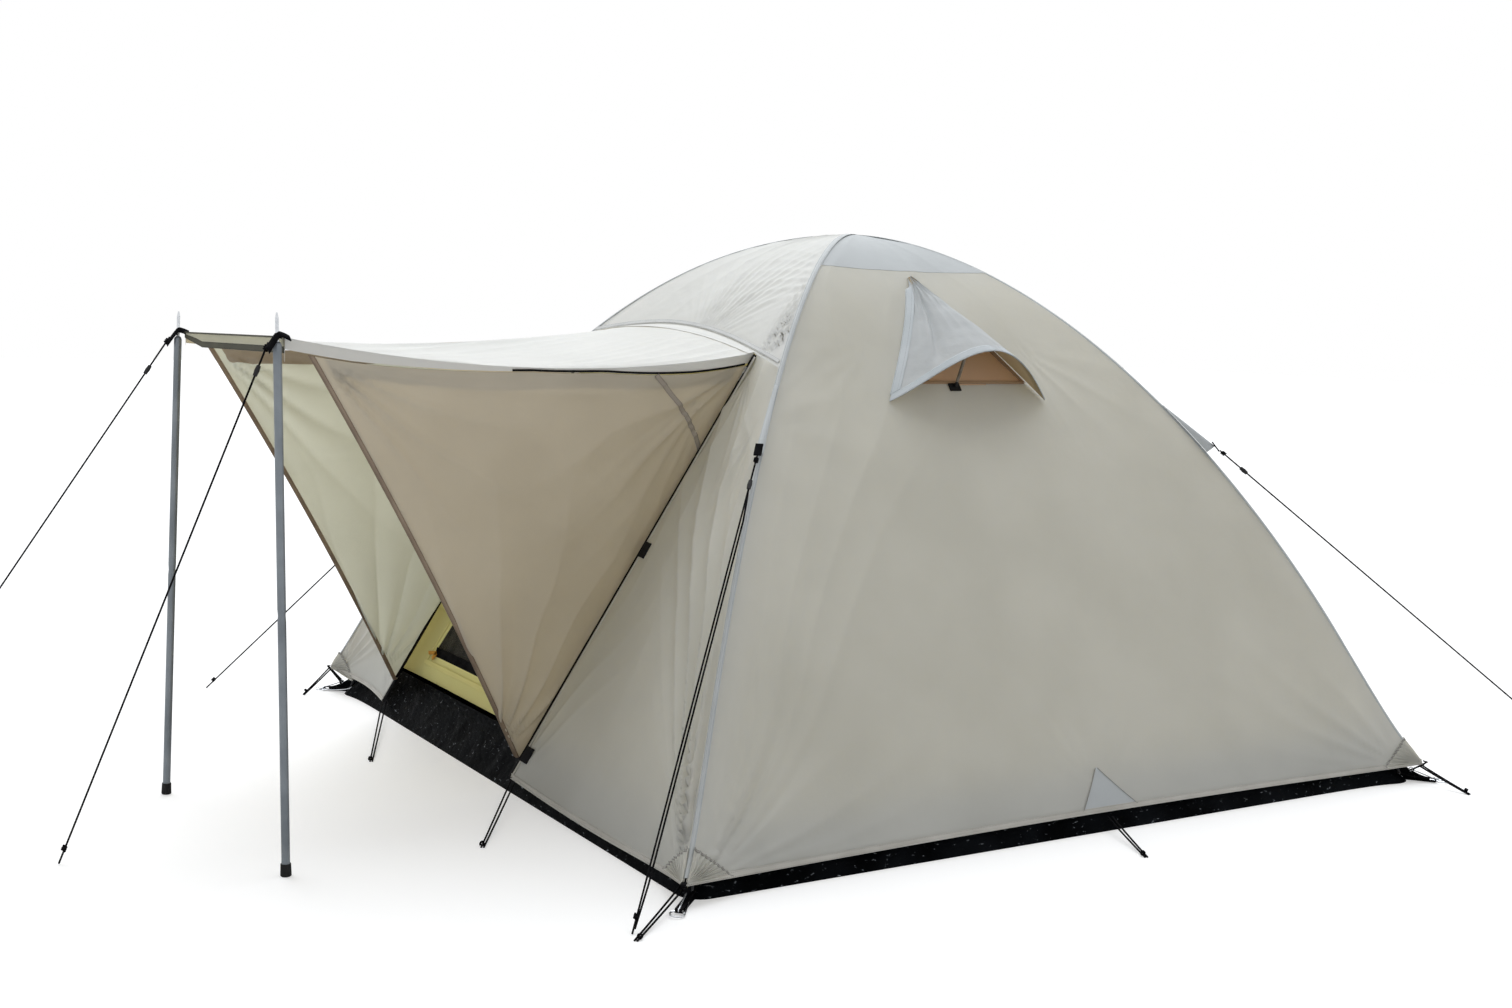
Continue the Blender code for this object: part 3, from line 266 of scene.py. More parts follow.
def grained(name, colours, roughness, cloud=35, grain=1400.0, strength=0.3, depth=0.0001, fineness=3.0,
            metallic=0.0, shine=0.25):
    """Hard piece with a fine grain: moulded plastic, drawn wire, coated tube."""
    made, tree, shader, coords, tint = material(name, colours, cloud, roughness, metallic=metallic, shine=shine)
    fine = node(tree, "TexNoise", {"Vector": coords["Object"], "Scale": grain, "Detail": fineness})
    bumps(tree, shader, [(fine.outputs["Fac"], strength, depth)])
    return made


bright_wire = grained("bright_wire", ((0.60, 0.62, 0.65), (0.78, 0.80, 0.83)), 0.26, 60, 900.0, 0.15,
                      fineness=2.0, metallic=1.0, shine=0.5)
pole_fibre = grained("pole_fibre", ((0.016, 0.016, 0.018), (0.032, 0.032, 0.035)), 0.32)
black_plastic = grained("black_plastic", ((0.010, 0.010, 0.011), (0.024, 0.024, 0.026)), 0.5)
CORNERS = {"near": (1, -1), "right": (1, 1), "far": (-1, 1), "left": (-1, -1)}
POLES = ["pole_near_far", "pole_left_right"]
dress(pole_fibre, *POLES)
for corner in CORNERS:
    dress(bright_wire, f"end_pin_{corner}", f"fly_hook_{corner}")
for name in GUYLINES:
    dress(black_plastic, f"runner_{name}")


# The tub groundsheet is black laminated woven sheet, welded to a shallow tub whose walls lean in.
# It creases sharply where it is handled, and a painted highlight of pale grey, with metal, lies in random spots
# along those creases. A strap at each corner holds a ring.
TUB_HALF, TUB_TOP_HALF, TUB_HEIGHT, TUB_CORNER, TUB_CREASE = 1.045, 0.974, 0.110, 0.050, 0.0032
CREASE_OUT, CREASE_UP, CREASE_END, CORNER_PULL, CORNER_PULL_REACH = 0.84, 0.54, 1.15, 0.034, 0.06
STRAP_WIDTH, RING_REACH, RING_RADIUS = 0.016, 1.105, 0.014
GUSSET_START, GUSSET_RISE, GUSSET_END = 1.428, 0.062, 0.010


def panel(name, skin, columns, rows, outward, finishes, size, thick=0.0008, keep=None, body="tent",
          slot_name="fly_cloth", welded=False):
    """Cloth laid over a surface of (across, down); its UV map is in metres of the flat cloth."""
    cloth = bmesh.new()
    flat = cloth.loops.layers.uv.new("flat")
    bmesh.ops.create_grid(cloth, x_segments=columns, y_segments=rows, size=0.5)
    bmesh.ops.translate(cloth, verts=cloth.verts, vec=(0.5, 0.5, 0))
    for face in cloth.faces:
        for loop in face.loops:
            loop[flat].uv = (loop.vert.co.x * size[0], loop.vert.co.y * size[1])
    if keep:
        gone = [face for face in cloth.faces if not keep(*face.calc_center_median().xy)]
        bmesh.ops.delete(cloth, geom=gone, context="FACES")
    for vertex in cloth.verts:
        vertex.co = skin(vertex.co.x, vertex.co.y)
    if welded:
        bmesh.ops.remove_doubles(cloth, verts=cloth.verts, dist=0.00005)
    cloth.normal_update()
    facing = 0.0
    for face in cloth.faces:
        towards = outward(face.calc_center_median()) if callable(outward) else outward
        facing += face.normal.dot(towards) * face.calc_area()
    if facing < 0:
        bmesh.ops.reverse_faces(cloth, faces=cloth.faces)
    made = add_piece(name, cloth, finishes, body)
    shell = made.modifiers.new("cloth_thickness", "SOLIDIFY")
    shell.thickness = thick
    shell.offset = -1
    shell.material_offset = 1 if len(finishes) > 1 else 0
    shell.material_offset_rim = 0
    made.modifiers.new("cloth_normals", "WEIGHTED_NORMAL")
    return made


def ribbon(name, line, over, lift, width, length, finish, steps=60, thick=0.0012, columns=4, **options):
    """Tape or binding: line(run) is its middle. The way across it and the way off the cloth are each a
    direction, or a function of run."""
    over_at, lift_at = (way if callable(way) else lambda run, way=way: way for way in (over, lift))

    def skin(side, run):
        return line(run) + over_at(run) * ((side - 0.5) * width) + lift_at(run) * thick

    return panel(name, skin, columns, steps, lift_at(0.5), [finish], (width, length), thick, **options)


def along_stops(stops, run):
    """Point on a chain of stops; run goes from 0 at the first to 1 at the last."""
    place = run * (len(stops) - 1)
    first = min(int(place), len(stops) - 2)
    return stops[first].lerp(stops[first + 1], place - first)


def square_ring(share, half, radius):
    """Point on a rounded square and the way out of it there; share runs once round."""
    straight, bend = 2 * (half - radius), math.pi / 2 * radius
    side, along = divmod(share * 4 * (straight + bend), straight + bend)
    facing = math.pi / 2 * (side % 4)
    out = Vector((math.cos(facing), math.sin(facing), 0))
    forward = Vector((-math.sin(facing), math.cos(facing), 0))
    if along <= straight:
        return out * half + forward * (along - straight / 2), out
    turn = (along - straight) / radius
    way = out * math.cos(turn) + forward * math.sin(turn)
    return (out + forward) * (half - radius) + way * radius, way


def threads(tree, coords, scale, strength, depth, ways=("X", "Y")):
    """Bump layers of a weave, on the flat cloth's own measures."""
    waves = [node(tree, "TexWave", {"Vector": coords["UV"], "Scale": scale}, bands_direction=way)
             for way in ways]
    return [(wave.outputs["Fac"], strength, depth) for wave in waves]


def laminated(name):
    """Black laminated sheet: nearly black, with a painted highlight of pale grey and metal in random spots
    along its creases.
    """
    made, tree, shader, coords, black = material(
        name, ((0.0012, 0.0015, 0.0019), (0.0062, 0.0074, 0.0092)), 9, 0.30, shine=0.008)
    stretched = node(tree, "Mapping", {"Vector": coords["Object"], "Scale": (1.0, 1.0, 2.6)}).outputs[0]
    crush = node(tree, "TexVoronoi", {"Vector": stretched, "Scale": 30.0}, feature="DISTANCE_TO_EDGE")
    crumple = node(tree, "TexNoise", {"Vector": stretched, "Scale": 55.0, "Detail": 6.0, "Roughness": 0.62})
    glint_spots = node(tree, "MapRange", {"Value": crumple.outputs["Fac"], "From Min": 0.59, "From Max": 0.72})
    crease = node(tree, "MapRange", {"Value": crush.outputs["Distance"], "From Min": 0.10, "From Max": 0.0})
    painted_glint = reckon(tree, "MULTIPLY", glint_spots.outputs[0], crease.outputs[0])
    # Painted highlight: pale grey colour and metal in random spots along the creases.
    colour = node(tree, "Mix", {0: painted_glint, 6: black, 7: (0.30, 0.33, 0.36, 1.0)}, data_type="RGBA")
    tree.links.new(colour.outputs[2], shader.inputs["Base Color"])
    tree.links.new(painted_glint, shader.inputs["Metallic"])
    bumps(tree, shader, [(crush.outputs["Distance"], 0.4, 0.004), (crumple.outputs["Fac"], 0.5, 0.003),
                         *threads(tree, coords, 120.0, 0.2, 0.0002)])
    return made


def crush(place, scale, seed):
    """Sharp creases: folded noise from -1 to 1."""
    return 1 - 2 * abs(noise.noise(place * scale + Vector((seed, seed, seed))) * 1.6)


def tub_wall(across, down):
    half = TUB_HALF + (TUB_TOP_HALF - TUB_HALF) * down
    place, out = square_ring(across % 1.0, half, TUB_CORNER)
    place.z = TUB_HEIGHT * down
    shallow = math.sin(math.pi * down * CREASE_END) ** 0.7 if down * CREASE_END < 1 else 0.0
    rise = TUB_CREASE * (crush(place, 9, 3) * 0.6 + crush(place, 23, 8) * 0.4)
    pulled = 0.0
    if abs(place.x) + abs(place.y) > 1.8 and place.x * place.y > 0:
        away = (Vector((abs(place.x), abs(place.y))) - Vector((TUB_HALF, TUB_HALF))).length
        pulled = CORNER_PULL * math.exp(-away / CORNER_PULL_REACH)
    return place + (out * CREASE_OUT + UP * CREASE_UP) * (rise * shallow) + out * pulled


tub_sheet = laminated("tub_sheet")
black_webbing = braided("black_webbing", ((0.004, 0.004, 0.005), (0.013, 0.013, 0.014)), 260)
tub_round = panel("tub_wall", tub_wall, 720, 14, lambda place: place.xy.to_3d(), [tub_sheet],
                  (8.2, 0.131), 0.0006, slot_name="tub_sheet", welded=True)
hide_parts("tub_floor")
ring_wire = RING_REACH * math.sqrt(2) - RING_RADIUS
# Each stop of a strap is its reach along the corner's diagonal and its height.
STRAP_STOPS = [(1.425, 0.034), (1.452, 0.022), (1.490, 0.014), (ring_wire - 0.004, 0.0118), (ring_wire, 0.0122),
               (ring_wire + 0.004, 0.009), (ring_wire + 0.0042, 0.0045), (ring_wire, 0.0022),
               (ring_wire - 0.006, 0.0022), (1.500, 0.0034), (1.470, 0.0035), (1.440, 0.0035)]
for corner, (side_x, side_y) in CORNERS.items():
    outward = Vector((side_x, side_y, 0)).normalized()
    stops = [outward * reach + UP * height for reach, height in STRAP_STOPS]
    ribbon(f"tub_strap_{corner}", lambda run: along_stops(stops, run), UP.cross(outward),
                             UP * 0.001, STRAP_WIDTH, 0.2, black_webbing, 44, slot_name="tub_sheet")

    def gusset(rise, run):
        """The tub's corner runs out to its ring as an upright tapering tongue."""
        height = 0.003 + rise * (GUSSET_RISE * (1 - run) ** 1.6 + GUSSET_END)
        return outward * (GUSSET_START + (ring_wire - 1.440) * run) + UP * height

    panel(f"tub_gusset_{corner}", gusset, 6, 24, UP.cross(outward), [tub_sheet],
                            (0.06, 0.12), 0.0012, slot_name="tub_sheet")


def floor_top(across, down):
    place = Vector((across - 0.5, down - 0.5, 0)) * (2 * TUB_HALF - 0.012)
    return place + UP * (0.0030 + 0.0012 * abs(noise.noise(place * 7)))


floor_sheet = panel("tub_floor_sheet", floor_top, 90, 90, UP, [tub_sheet], (2.08, 2.08), 0.0006,
                    slot_name="tub_sheet")


# The flysheet is a square dome of beige polyester. Its walls meet at seams over the poles, and each
# wall hollows in a little between two ridges. Tension folds fan out from every corner and anchor.
FLY_HALF, FLY_HEIGHT, HEM_HEIGHT, WALL_DIP = 1.05, 1.358, 0.033, 0.030
WALL_WIDTH, WALL_LENGTH, SEAM_GAP = 2.1, 1.74, 0.0003
RIDGE_LEAN = {"near": 0.961, "right": 1.129, "far": 0.978, "left": 0.978}
RIDGE_CLIMB = {"near": 1.677, "right": 1.717, "far": 1.684, "left": 1.684}
APEX_ANGLE = math.radians(89.9)
RIDGE_LAP, RIDGE_TAPE, HEM_BAND, HEM_ARCH, FOLD_GAIN = 0.004, 0.015, 0.013, 0.011, 2.2
FLARE_REACH, FLARE_CUT = 0.085, 0.05
FLARE = {"near": (0.046, 0.012, 0.085), "right": (0.052, 0.014, 0.10), "far": (0.052, 0.014, 0.10),
         "left": (0.062, 0.038, 0.35)}


def diagonal(corner):
    return Vector((*CORNERS[corner], 0))


def ridge_reach(corner, share):
    angle = math.asin(min(1.0, share) ** (1 / RIDGE_CLIMB[corner]))
    return math.cos(angle) ** RIDGE_LEAN[corner]


def ridge_at(corner, height, half=FLY_HALF, apex=FLY_HEIGHT):
    return diagonal(corner) * (half * ridge_reach(corner, height / apex)) + UP * height


def row_angle(height, apex):
    return math.asin((height / apex) ** (1 / RIDGE_CLIMB["near"]))


def row_height(down, bottom=HEM_HEIGHT, apex=FLY_HEIGHT):
    start = row_angle(bottom, apex)
    return apex * math.sin(start + (APEX_ANGLE - start) * down) ** RIDGE_CLIMB["near"]


def row_at(height, bottom=HEM_HEIGHT, apex=FLY_HEIGHT):
    """The inverse of row_height."""
    start = row_angle(bottom, apex)
    return (row_angle(height, apex) - start) / (APEX_ANGLE - start)


def flared(point):
    """Near the hem's corners the cloth is pulled out and up, towards the pegging loops."""
    moved = point.copy()
    above = max(0.0, point.z - HEM_HEIGHT)
    for corner, (out, rise, climb) in FLARE.items():
        if above > 3 * climb or point.xy.dot(diagonal(corner).xy) < 1:
            continue
        beside = (point - ridge_at(corner, max(HEM_HEIGHT, point.z))).xy.length / FLARE_REACH
        pulled = max(0.0, math.exp(-math.hypot(beside, above / climb)) - FLARE_CUT)
        raised = max(0.0, math.exp(-math.hypot(beside, above / FLARE_REACH)) - FLARE_CUT)
        moved += diagonal(corner).normalized() * (out * pulled) + UP * (rise * raised)
    return moved


def wall_at(start, end, across, height, half=FLY_HALF, apex=FLY_HEIGHT, dip=WALL_DIP, flat=2, lap=RIDGE_LAP):
    """Point of a wall between two ridges; across runs from 0 at the start corner to 1."""
    first = ridge_at(start, height, half, apex)
    run = ridge_at(end, height, half, apex) - first
    inset = min(0.3, lap / run.length)
    place = inset + across * (1 - 2 * inset)
    share = height / apex
    hollow = dip * (1 - abs(2 * place - 1) ** flat) * 4 * share * (1 - share) * run.length / (2 * half)
    point = first + run * place + UP.cross(run).normalized() * hollow
    if half != FLY_HALF:
        return point
    arched = HEM_ARCH * math.sin(math.pi * place) * math.exp(-(height - HEM_HEIGHT) / 0.06)
    return flared(point + UP * arched)


def fan(u, v, pull):
    """Folds that fan out from a held point of the cloth: (u, v, heading, spread, folds, height, reach)."""
    at_u, at_v, heading, spread, folds, height, reach = pull
    away = math.hypot(u - at_u, v - at_v)
    turn = math.atan2(v - at_v, u - at_u) - math.radians(heading)
    turn = (turn + math.pi) % (2 * math.pi) - math.pi
    side = turn / math.radians(spread)
    if abs(side) >= 1:
        return 0.0
    wander = noise.noise(Vector((away * 2.5 + at_u * 7, turn * 2.2, folds)))
    fold = 1 - 2 * abs(math.sin(turn * folds / 2 + wander * 1.6)) ** 0.8
    strength = 0.55 + 0.45 * noise.noise(Vector((turn * 3.1, at_u * 5 + folds, at_v)))
    near = 1 - math.exp(-away / 0.05)
    return FOLD_GAIN * height * fold * strength * math.cos(side * math.pi / 2) * near * math.exp(-away / reach)


def draped(base, along, length, outward, pulls, drift=0.0035, seed=1.0, edge=0.05):
    """A smooth surface given the slow waves and tension folds of taut cloth, which die out at its edges."""
    def skin(across, down):
        point = base(across, down)
        u, v = point.dot(along), down * length
        rise = drift * noise.noise(Vector((u * 1.7, v * 1.7, seed)))
        rise += drift * 0.35 * noise.noise(Vector((u * 5, v * 5, seed + 9)))
        rise += sum(fan(u, v, pull) for pull in pulls)
        fade = min(1.0, min(across, 1 - across) / edge) * min(1.0, min(down, 1 - down) / edge)
        return point + outward * (rise * fade ** 0.6)

    return skin


def woven(name, colours, weave=0.0011, glow=0.0, glow_colour=None, crumple=0.35):
    """Plain woven polyester: a fine over-and-under weave, soft colour drift, and light that comes through."""
    made, tree, shader, coords, tint = material(name, colours, 3.5, 0.78, 6.0)
    shader.inputs["Sheen Weight"].default_value = 0.12
    puckers = node(tree, "TexNoise", {"Vector": coords["Object"], "Scale": 26.0, "Detail": 5.0})
    bumps(tree, shader, [*threads(tree, coords, 0.32 / weave, 0.16, 0.00012),
                         (puckers.outputs["Fac"], crumple, 0.003)])
    if glow:
        through = node(tree, "BsdfTranslucent", {"Color": (*glow_colour, 1.0)})
        both = node(tree, "MixShader", {0: glow, 1: shader.outputs[0], 2: through.outputs[0]})
        tree.links.new(both.outputs[0], tree.nodes["Material Output"].inputs["Surface"])
    return made


def stitched(name, colours, width, pitch=0.0042):
    """Sewn tape or binding: woven, with a row of stitches near each edge."""
    made, tree, shader, coords, tint = material(name, colours, 14, 0.74, 5.0)
    place = node(tree, "SeparateXYZ", {"Vector": coords["UV"]}).outputs
    across = reckon(tree, "ABSOLUTE", reckon(tree, "SUBTRACT", place["X"], width / 2))
    row = reckon(tree, "COMPARE", across, width * 0.36, 0.0005)
    run = reckon(tree, "LESS_THAN", reckon(tree, "FRACT", reckon(tree, "DIVIDE", place["Y"], pitch)), 0.62)
    stitch = reckon(tree, "MULTIPLY", row, run)
    thread = (*[part * 0.6 for part in colours[0]], 1.0)
    darker = node(tree, "Mix", {0: stitch, 6: tint, 7: thread}, data_type="RGBA")
    tree.links.new(darker.outputs[2], shader.inputs["Base Color"])
    bumps(tree, shader, [*threads(tree, coords, 260.0, 0.2, 0.0002, "Y"), (stitch, 0.6, 0.0004)])
    return made


FLY_COLOURS = ((0.71, 0.715, 0.67), (0.78, 0.785, 0.74))
fly_cloth = woven("fly_cloth", FLY_COLOURS, glow=0.32, glow_colour=(0.86, 0.81, 0.72))
fly_lining = woven("fly_lining", FLY_COLOURS, glow=0.80, glow_colour=(0.90, 0.87, 0.80))
# Painted light: a lighter, bluer copy of the fly's cloth for the yoke and the awning's roof, which face the
# sky.
painted_lit_cloth = woven("painted_lit_cloth", ((0.79, 0.80, 0.785), (0.85, 0.86, 0.845)), glow=0.20,
                     glow_colour=(0.86, 0.84, 0.78), crumple=0.6)
seam_tape = stitched("seam_tape", ((0.50, 0.525, 0.53), (0.55, 0.575, 0.58)), RIDGE_TAPE)
hem_tape = stitched("hem_tape", ((0.56, 0.54, 0.49), (0.64, 0.62, 0.57)), HEM_BAND)
cap_cloth = woven("cap_cloth", ((0.575, 0.605, 0.615), (0.63, 0.66, 0.67)), glow=0.16,
                  glow_colour=(0.66, 0.69, 0.70))

PLAIN_PULLS = [(-1.04, 0.00, 60, 50, 30, 0.004, 0.45), (1.04, 0.00, 120, 50, 30, 0.004, 0.45),
               (0.0, 1.74, -90, 70, 20, 0.0025, 0.30), (0.0, 0.0, 90, 60, 20, 0.002, 0.25)]
RIGHT_OUT = Vector((0.86, 0, 0.5))
WALLS = {
    "right": ("near", "right", Vector((0, 1, 0)), RIGHT_OUT, [
        (-1.04, 0.00, 62, 60, 30, 0.0042, 0.42), (-1.04, 0.00, 60, 17, 60, 0.0062, 1.10),
        (1.04, 0.00, 120, 50, 26, 0.0035, 0.35), (0.03, 0.10, 90, 70, 22, 0.0022, 0.20),
        (-0.29, 1.12, 200, 60, 18, 0.0020, 0.20), (0.18, 1.12, -30, 60, 18, 0.0020, 0.20),
        (-0.70, 0.95, 10, 70, 16, 0.0020, 0.25), (0.0, 1.74, -90, 70, 20, 0.0025, 0.30)]),
    "rear": ("right", "far", Vector((-1, 0, 0)), Vector((0, 0.86, 0.5)), PLAIN_PULLS),
    "left": ("far", "left", Vector((0, -1, 0)), Vector((-0.86, 0, 0.5)), PLAIN_PULLS),
}
HOLE_MIDDLE, HOLE_HALF, HOLE_SILL, HOLE_HEIGHT = -0.006, 0.154, 0.990, 0.150
HOLE_SLANT_TOP, HOLE_SLANT, HOLE_BINDING = 0.186, 1.2735, 0.012
CAP_SEAM = 1.264


def fly_base(start, end):
    return lambda across, down: wall_at(start, end, across, row_height(down))


def hole_top(y):
    """Height of the vent hole above its sill: an arch, cut off under the hood's slanting side."""
    arch = math.sqrt(max(0.0, 1 - ((y - HOLE_MIDDLE) / HOLE_HALF) ** 2))
    return max(0.0, min(HOLE_HEIGHT * arch, HOLE_SLANT_TOP - HOLE_SLANT * y))


def beside_vent(across, down):
    """False inside the arched vent hole of the right wall."""
    point = fly_base("near", "right")(across, down)
    rise = point.z - HOLE_SILL
    return rise < 0 or rise > hole_top(point.y)


fly_sheets = {}
for name, (start, end, along, outward, pulls) in WALLS.items():
    skin = draped(fly_base(start, end), along, WALL_LENGTH, outward, pulls, seed=len(name) * 3.1)
    sheet = panel(f"fly_{name}_sheet", skin, 190, 150, outward, [fly_cloth, fly_lining],
                  (WALL_WIDTH, WALL_LENGTH), keep=beside_vent if name == "right" else None)
    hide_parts(f"fly_{name}")
    hem = ribbon(f"fly_{name}_hem", lambda run: wall_at(start, end, run, HEM_HEIGHT + HEM_BAND * 0.49),
                 (UP - outward * 0.12).normalized(), outward, HEM_BAND, WALL_WIDTH, hem_tape, 90, 0.0010)

    def crown(across, down):
        edge = row_at(CAP_SEAM - 0.004 * math.sin(math.pi * across))
        return skin(across, edge + (0.999 - edge) * down) + outward * 0.0006

    cap = panel(f"crown_cap_{name}", crown, 60, 26, outward, [cap_cloth], (0.9, 0.4), 0.0005)
    fly_sheets[name] = (sheet, [hem, cap])


# Seam tapes run along the ridges, from one corner over the apex to the opposite one. They start a
# little above the hem, clear of the corner hooks.
TAPE_START = 0.02


def ridge_skin(first, last, lift):
    side_way = UP.cross(diagonal(first)).normalized()

    def skin(side, run):
        corner, part = (first, run) if run < 0.5 else (last, 1 - run)
        climb = TAPE_START + part * 2 * (1 - TAPE_START)
        point, above, below = (ridge_at(corner, row_height(min(1.0, max(0.0, climb + step))))
                               for step in (0.0, 0.01, -0.01))
        upward = (above - below).normalized()
        outward = diagonal(corner).normalized()
        outward = (outward - upward * outward.dot(upward)).normalized()
        offset = (side - 0.5) * RIDGE_TAPE
        level = [Vector((0, -CORNERS[corner][1], 0)), Vector((-CORNERS[corner][0], 0, 0))]
        away = max(level, key=lambda way: way.dot(side_way) * (1 if offset > 0 else -1))
        away = (away - upward * away.dot(upward)).normalized()
        return flared(point) + away * abs(offset) + outward * lift

    return skin


for first, last, lift in (("left", "right", 0.0008), ("near", "far", 0.0014)):
    tape = panel(f"ridge_tape_{first}_{last}", ridge_skin(first, last, lift), 8, 220, lambda place: place,
                 [seam_tape], (RIDGE_TAPE, 4.6), 0.0008)
    fly_sheets["rear"][1].append(tape)


# The front of the flysheet is a yoke over the entrance, with a panel on each side between zip and ridge.
# The yoke's curved lower seam carries the awning's roof.
YOKE_HEIGHT = {"left": 1.075, "near": 1.020}
YOKE_RISE = 0.055
YOKE_OUT = Vector((0, -0.5, 0.86))
ALONG_X = Vector((1, 0, 0))
ZIP_CORNER = {"near": "near", "far": "left"}
ZIP_FOOT_X = {"near": 0.160, "far": -0.735}
ZIP_TOP_X = {"near": 0.425, "far": -0.486}
ZIP_WIDTH = 0.012
HEM_FALL = {"near": 0.011, "far": -0.018}


def seam_at(across):
    height = YOKE_HEIGHT["left"] + (YOKE_HEIGHT["near"] - YOKE_HEIGHT["left"]) * across
    height += YOKE_RISE * 4 * across * (1 - across)
    return wall_at("left", "near", across, height, dip=0.0, lap=SEAM_GAP)


def seam_share(x):
    low, high = 0.0, 1.0
    for _ in range(30):
        middle = (low + high) / 2
        low, high = (middle, high) if seam_at(middle).x < x else (low, middle)
    return (low + high) / 2


ZIP_LINE = {side: (Vector((ZIP_FOOT_X[side], ridge_at(corner, HEM_HEIGHT).y, HEM_HEIGHT)),
                   seam_at(seam_share(ZIP_TOP_X[side]))) for side, corner in ZIP_CORNER.items()}


def zip_at(side, climb):
    return ZIP_LINE[side][0].lerp(ZIP_LINE[side][1], climb)


def panel_edge(side, climb):
    corner = ZIP_CORNER[side]
    return ridge_at(corner, HEM_HEIGHT + (YOKE_HEIGHT[corner] - HEM_HEIGHT) * climb)


def zip_side(side, climb):
    return (panel_edge(side, climb) - zip_at(side, climb)).normalized()


def zip_edge(side, climb):
    """The zip's edge towards the entrance, where the awning and its wings are sewn on."""
    return zip_at(side, climb) - zip_side(side, climb) * (ZIP_WIDTH / 2 + SEAM_GAP)


def zip_face(side, climb):
    normal = (ZIP_LINE[side][1] - ZIP_LINE[side][0]).cross(zip_side(side, climb))
    return normal.normalized() * (-1 if normal.y > 0 else 1)


def front_skin(side):
    inset = ZIP_WIDTH / 2 - 0.001
    edge_share = seam_share(ZIP_TOP_X[side])
    ridge_share = {"near": 1.0, "far": 0.0}[side]

    def skin(across, down):
        ridge, tape = panel_edge(side, down), zip_at(side, down)
        run = tape - ridge
        place = (RIDGE_LAP + (run.length - RIDGE_LAP - inset) * across) / run.length
        straight = panel_edge(side, 1) + (zip_at(side, 1) - panel_edge(side, 1)) * place
        curved = seam_at(ridge_share + (edge_share - ridge_share) * place)
        lower = HEM_FALL[side] * math.sin(math.pi * place) * math.exp(-down / 0.06)
        return flared(ridge + run * place + (curved - straight) * down ** 4 - UP * lower)

    return skin


FRONT_OUT = Vector((0, -0.88, 0.47))
FRONT_PULLS = {
    "near": [(1.04, 0.00, 112, 40, 30, 0.0050, 0.50), (1.04, 0.00, 116, 18, 60, 0.0120, 1.30),
             (0.16, 0.00, 62, 30, 26, 0.0030, 0.50), (0.43, 1.15, -70, 40, 24, 0.0035, 0.45),
             (0.60, 1.05, -95, 30, 24, 0.0030, 0.40)],
    "far": [(-1.04, 0.00, 66, 40, 30, 0.0040, 0.40), (-0.74, 0.00, 110, 40, 26, 0.0035, 0.35),
            (-0.49, 1.15, -110, 40, 20, 0.0030, 0.40)],
}
for side, columns in (("near", 150), ("far", 110)):
    base = front_skin(side)
    skin = draped(base, ALONG_X, 1.2, FRONT_OUT, FRONT_PULLS[side], seed=4.4, edge=0.025)
    sheet = panel(f"fly_front_{side}_sheet", skin, columns, 150, FRONT_OUT, [fly_cloth, fly_lining], (0.9, 1.2))
    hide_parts(f"fly_front_{side}")
    hem = ribbon(f"fly_front_{side}_hem", lambda run: base(run, 0.006), Vector((0, 0.1, 1)).normalized(),
                 FRONT_OUT, HEM_BAND, 0.9, hem_tape, 50, 0.0010)
    fly_sheets[f"front_{side}"] = (sheet, [hem])


def yoke_base(across, down):
    return wall_at("left", "near", across, row_height(down, seam_at(across).z), dip=0.0)


YOKE_PULLS = [(0.44, -0.02, 74, 44, 50, 0.0110, 0.34), (0.62, 0.00, 60, 40, 70, 0.0080, 0.34),
              (-0.49, -0.02, 106, 48, 50, 0.0085, 0.34), (0.0, 0.66, -90, 80, 30, 0.0035, 0.30),
              (0.66, 0.34, 190, 40, 60, 0.0042, 0.30), (0.10, -0.05, 88, 70, 50, 0.0040, 0.30)]
skin = draped(yoke_base, ALONG_X, 0.62, YOKE_OUT, YOKE_PULLS, drift=0.0045, seed=6.6, edge=0.03)
sheet = panel("fly_yoke_sheet", skin, 220, 110, YOKE_OUT, [painted_lit_cloth, fly_lining], (1.1, 0.62))
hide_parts("fly_front_yoke")
yoke_tape = stitched("yoke_tape", ((0.69, 0.70, 0.69), (0.75, 0.76, 0.75)), 0.010)
yoke_seam = ribbon("yoke_seam", lambda run: seam_at(0.02 + 0.96 * run) + Vector((0, 0.007, 0.011)),
                   Vector((0, 0.5, 0.86)), Vector((0, -0.86, 0.5)), 0.010, 1.1, yoke_tape, 80, 0.0006)
fly_sheets["yoke"] = (sheet, [yoke_seam])


# Reinforcing patches are sewn on where the hem is pulled: a pleated fan at each corner and a plain
# triangle mid side. A dark tape binds their upper edges.
PATCH_ALONG, PATCH_UP, PATCH_ROUND, PATCH_INSET, PATCH_LIFT = 0.094, 0.064, 1.08, 0.004, 0.0038
PATCH_PLEATS, PLEAT_DEPTH, HEM_SPAN = 8, 0.0032, 2.09
SIDE_PATCH_AT, SIDE_PATCH_WIDTH, SIDE_PATCH_UP, SIDE_PATCH_LEAN = 0.049, 0.163, 0.092, 0.015
patch_seam = stitched("patch_seam", ((0.30, 0.29, 0.27), (0.38, 0.37, 0.34)), 0.005)


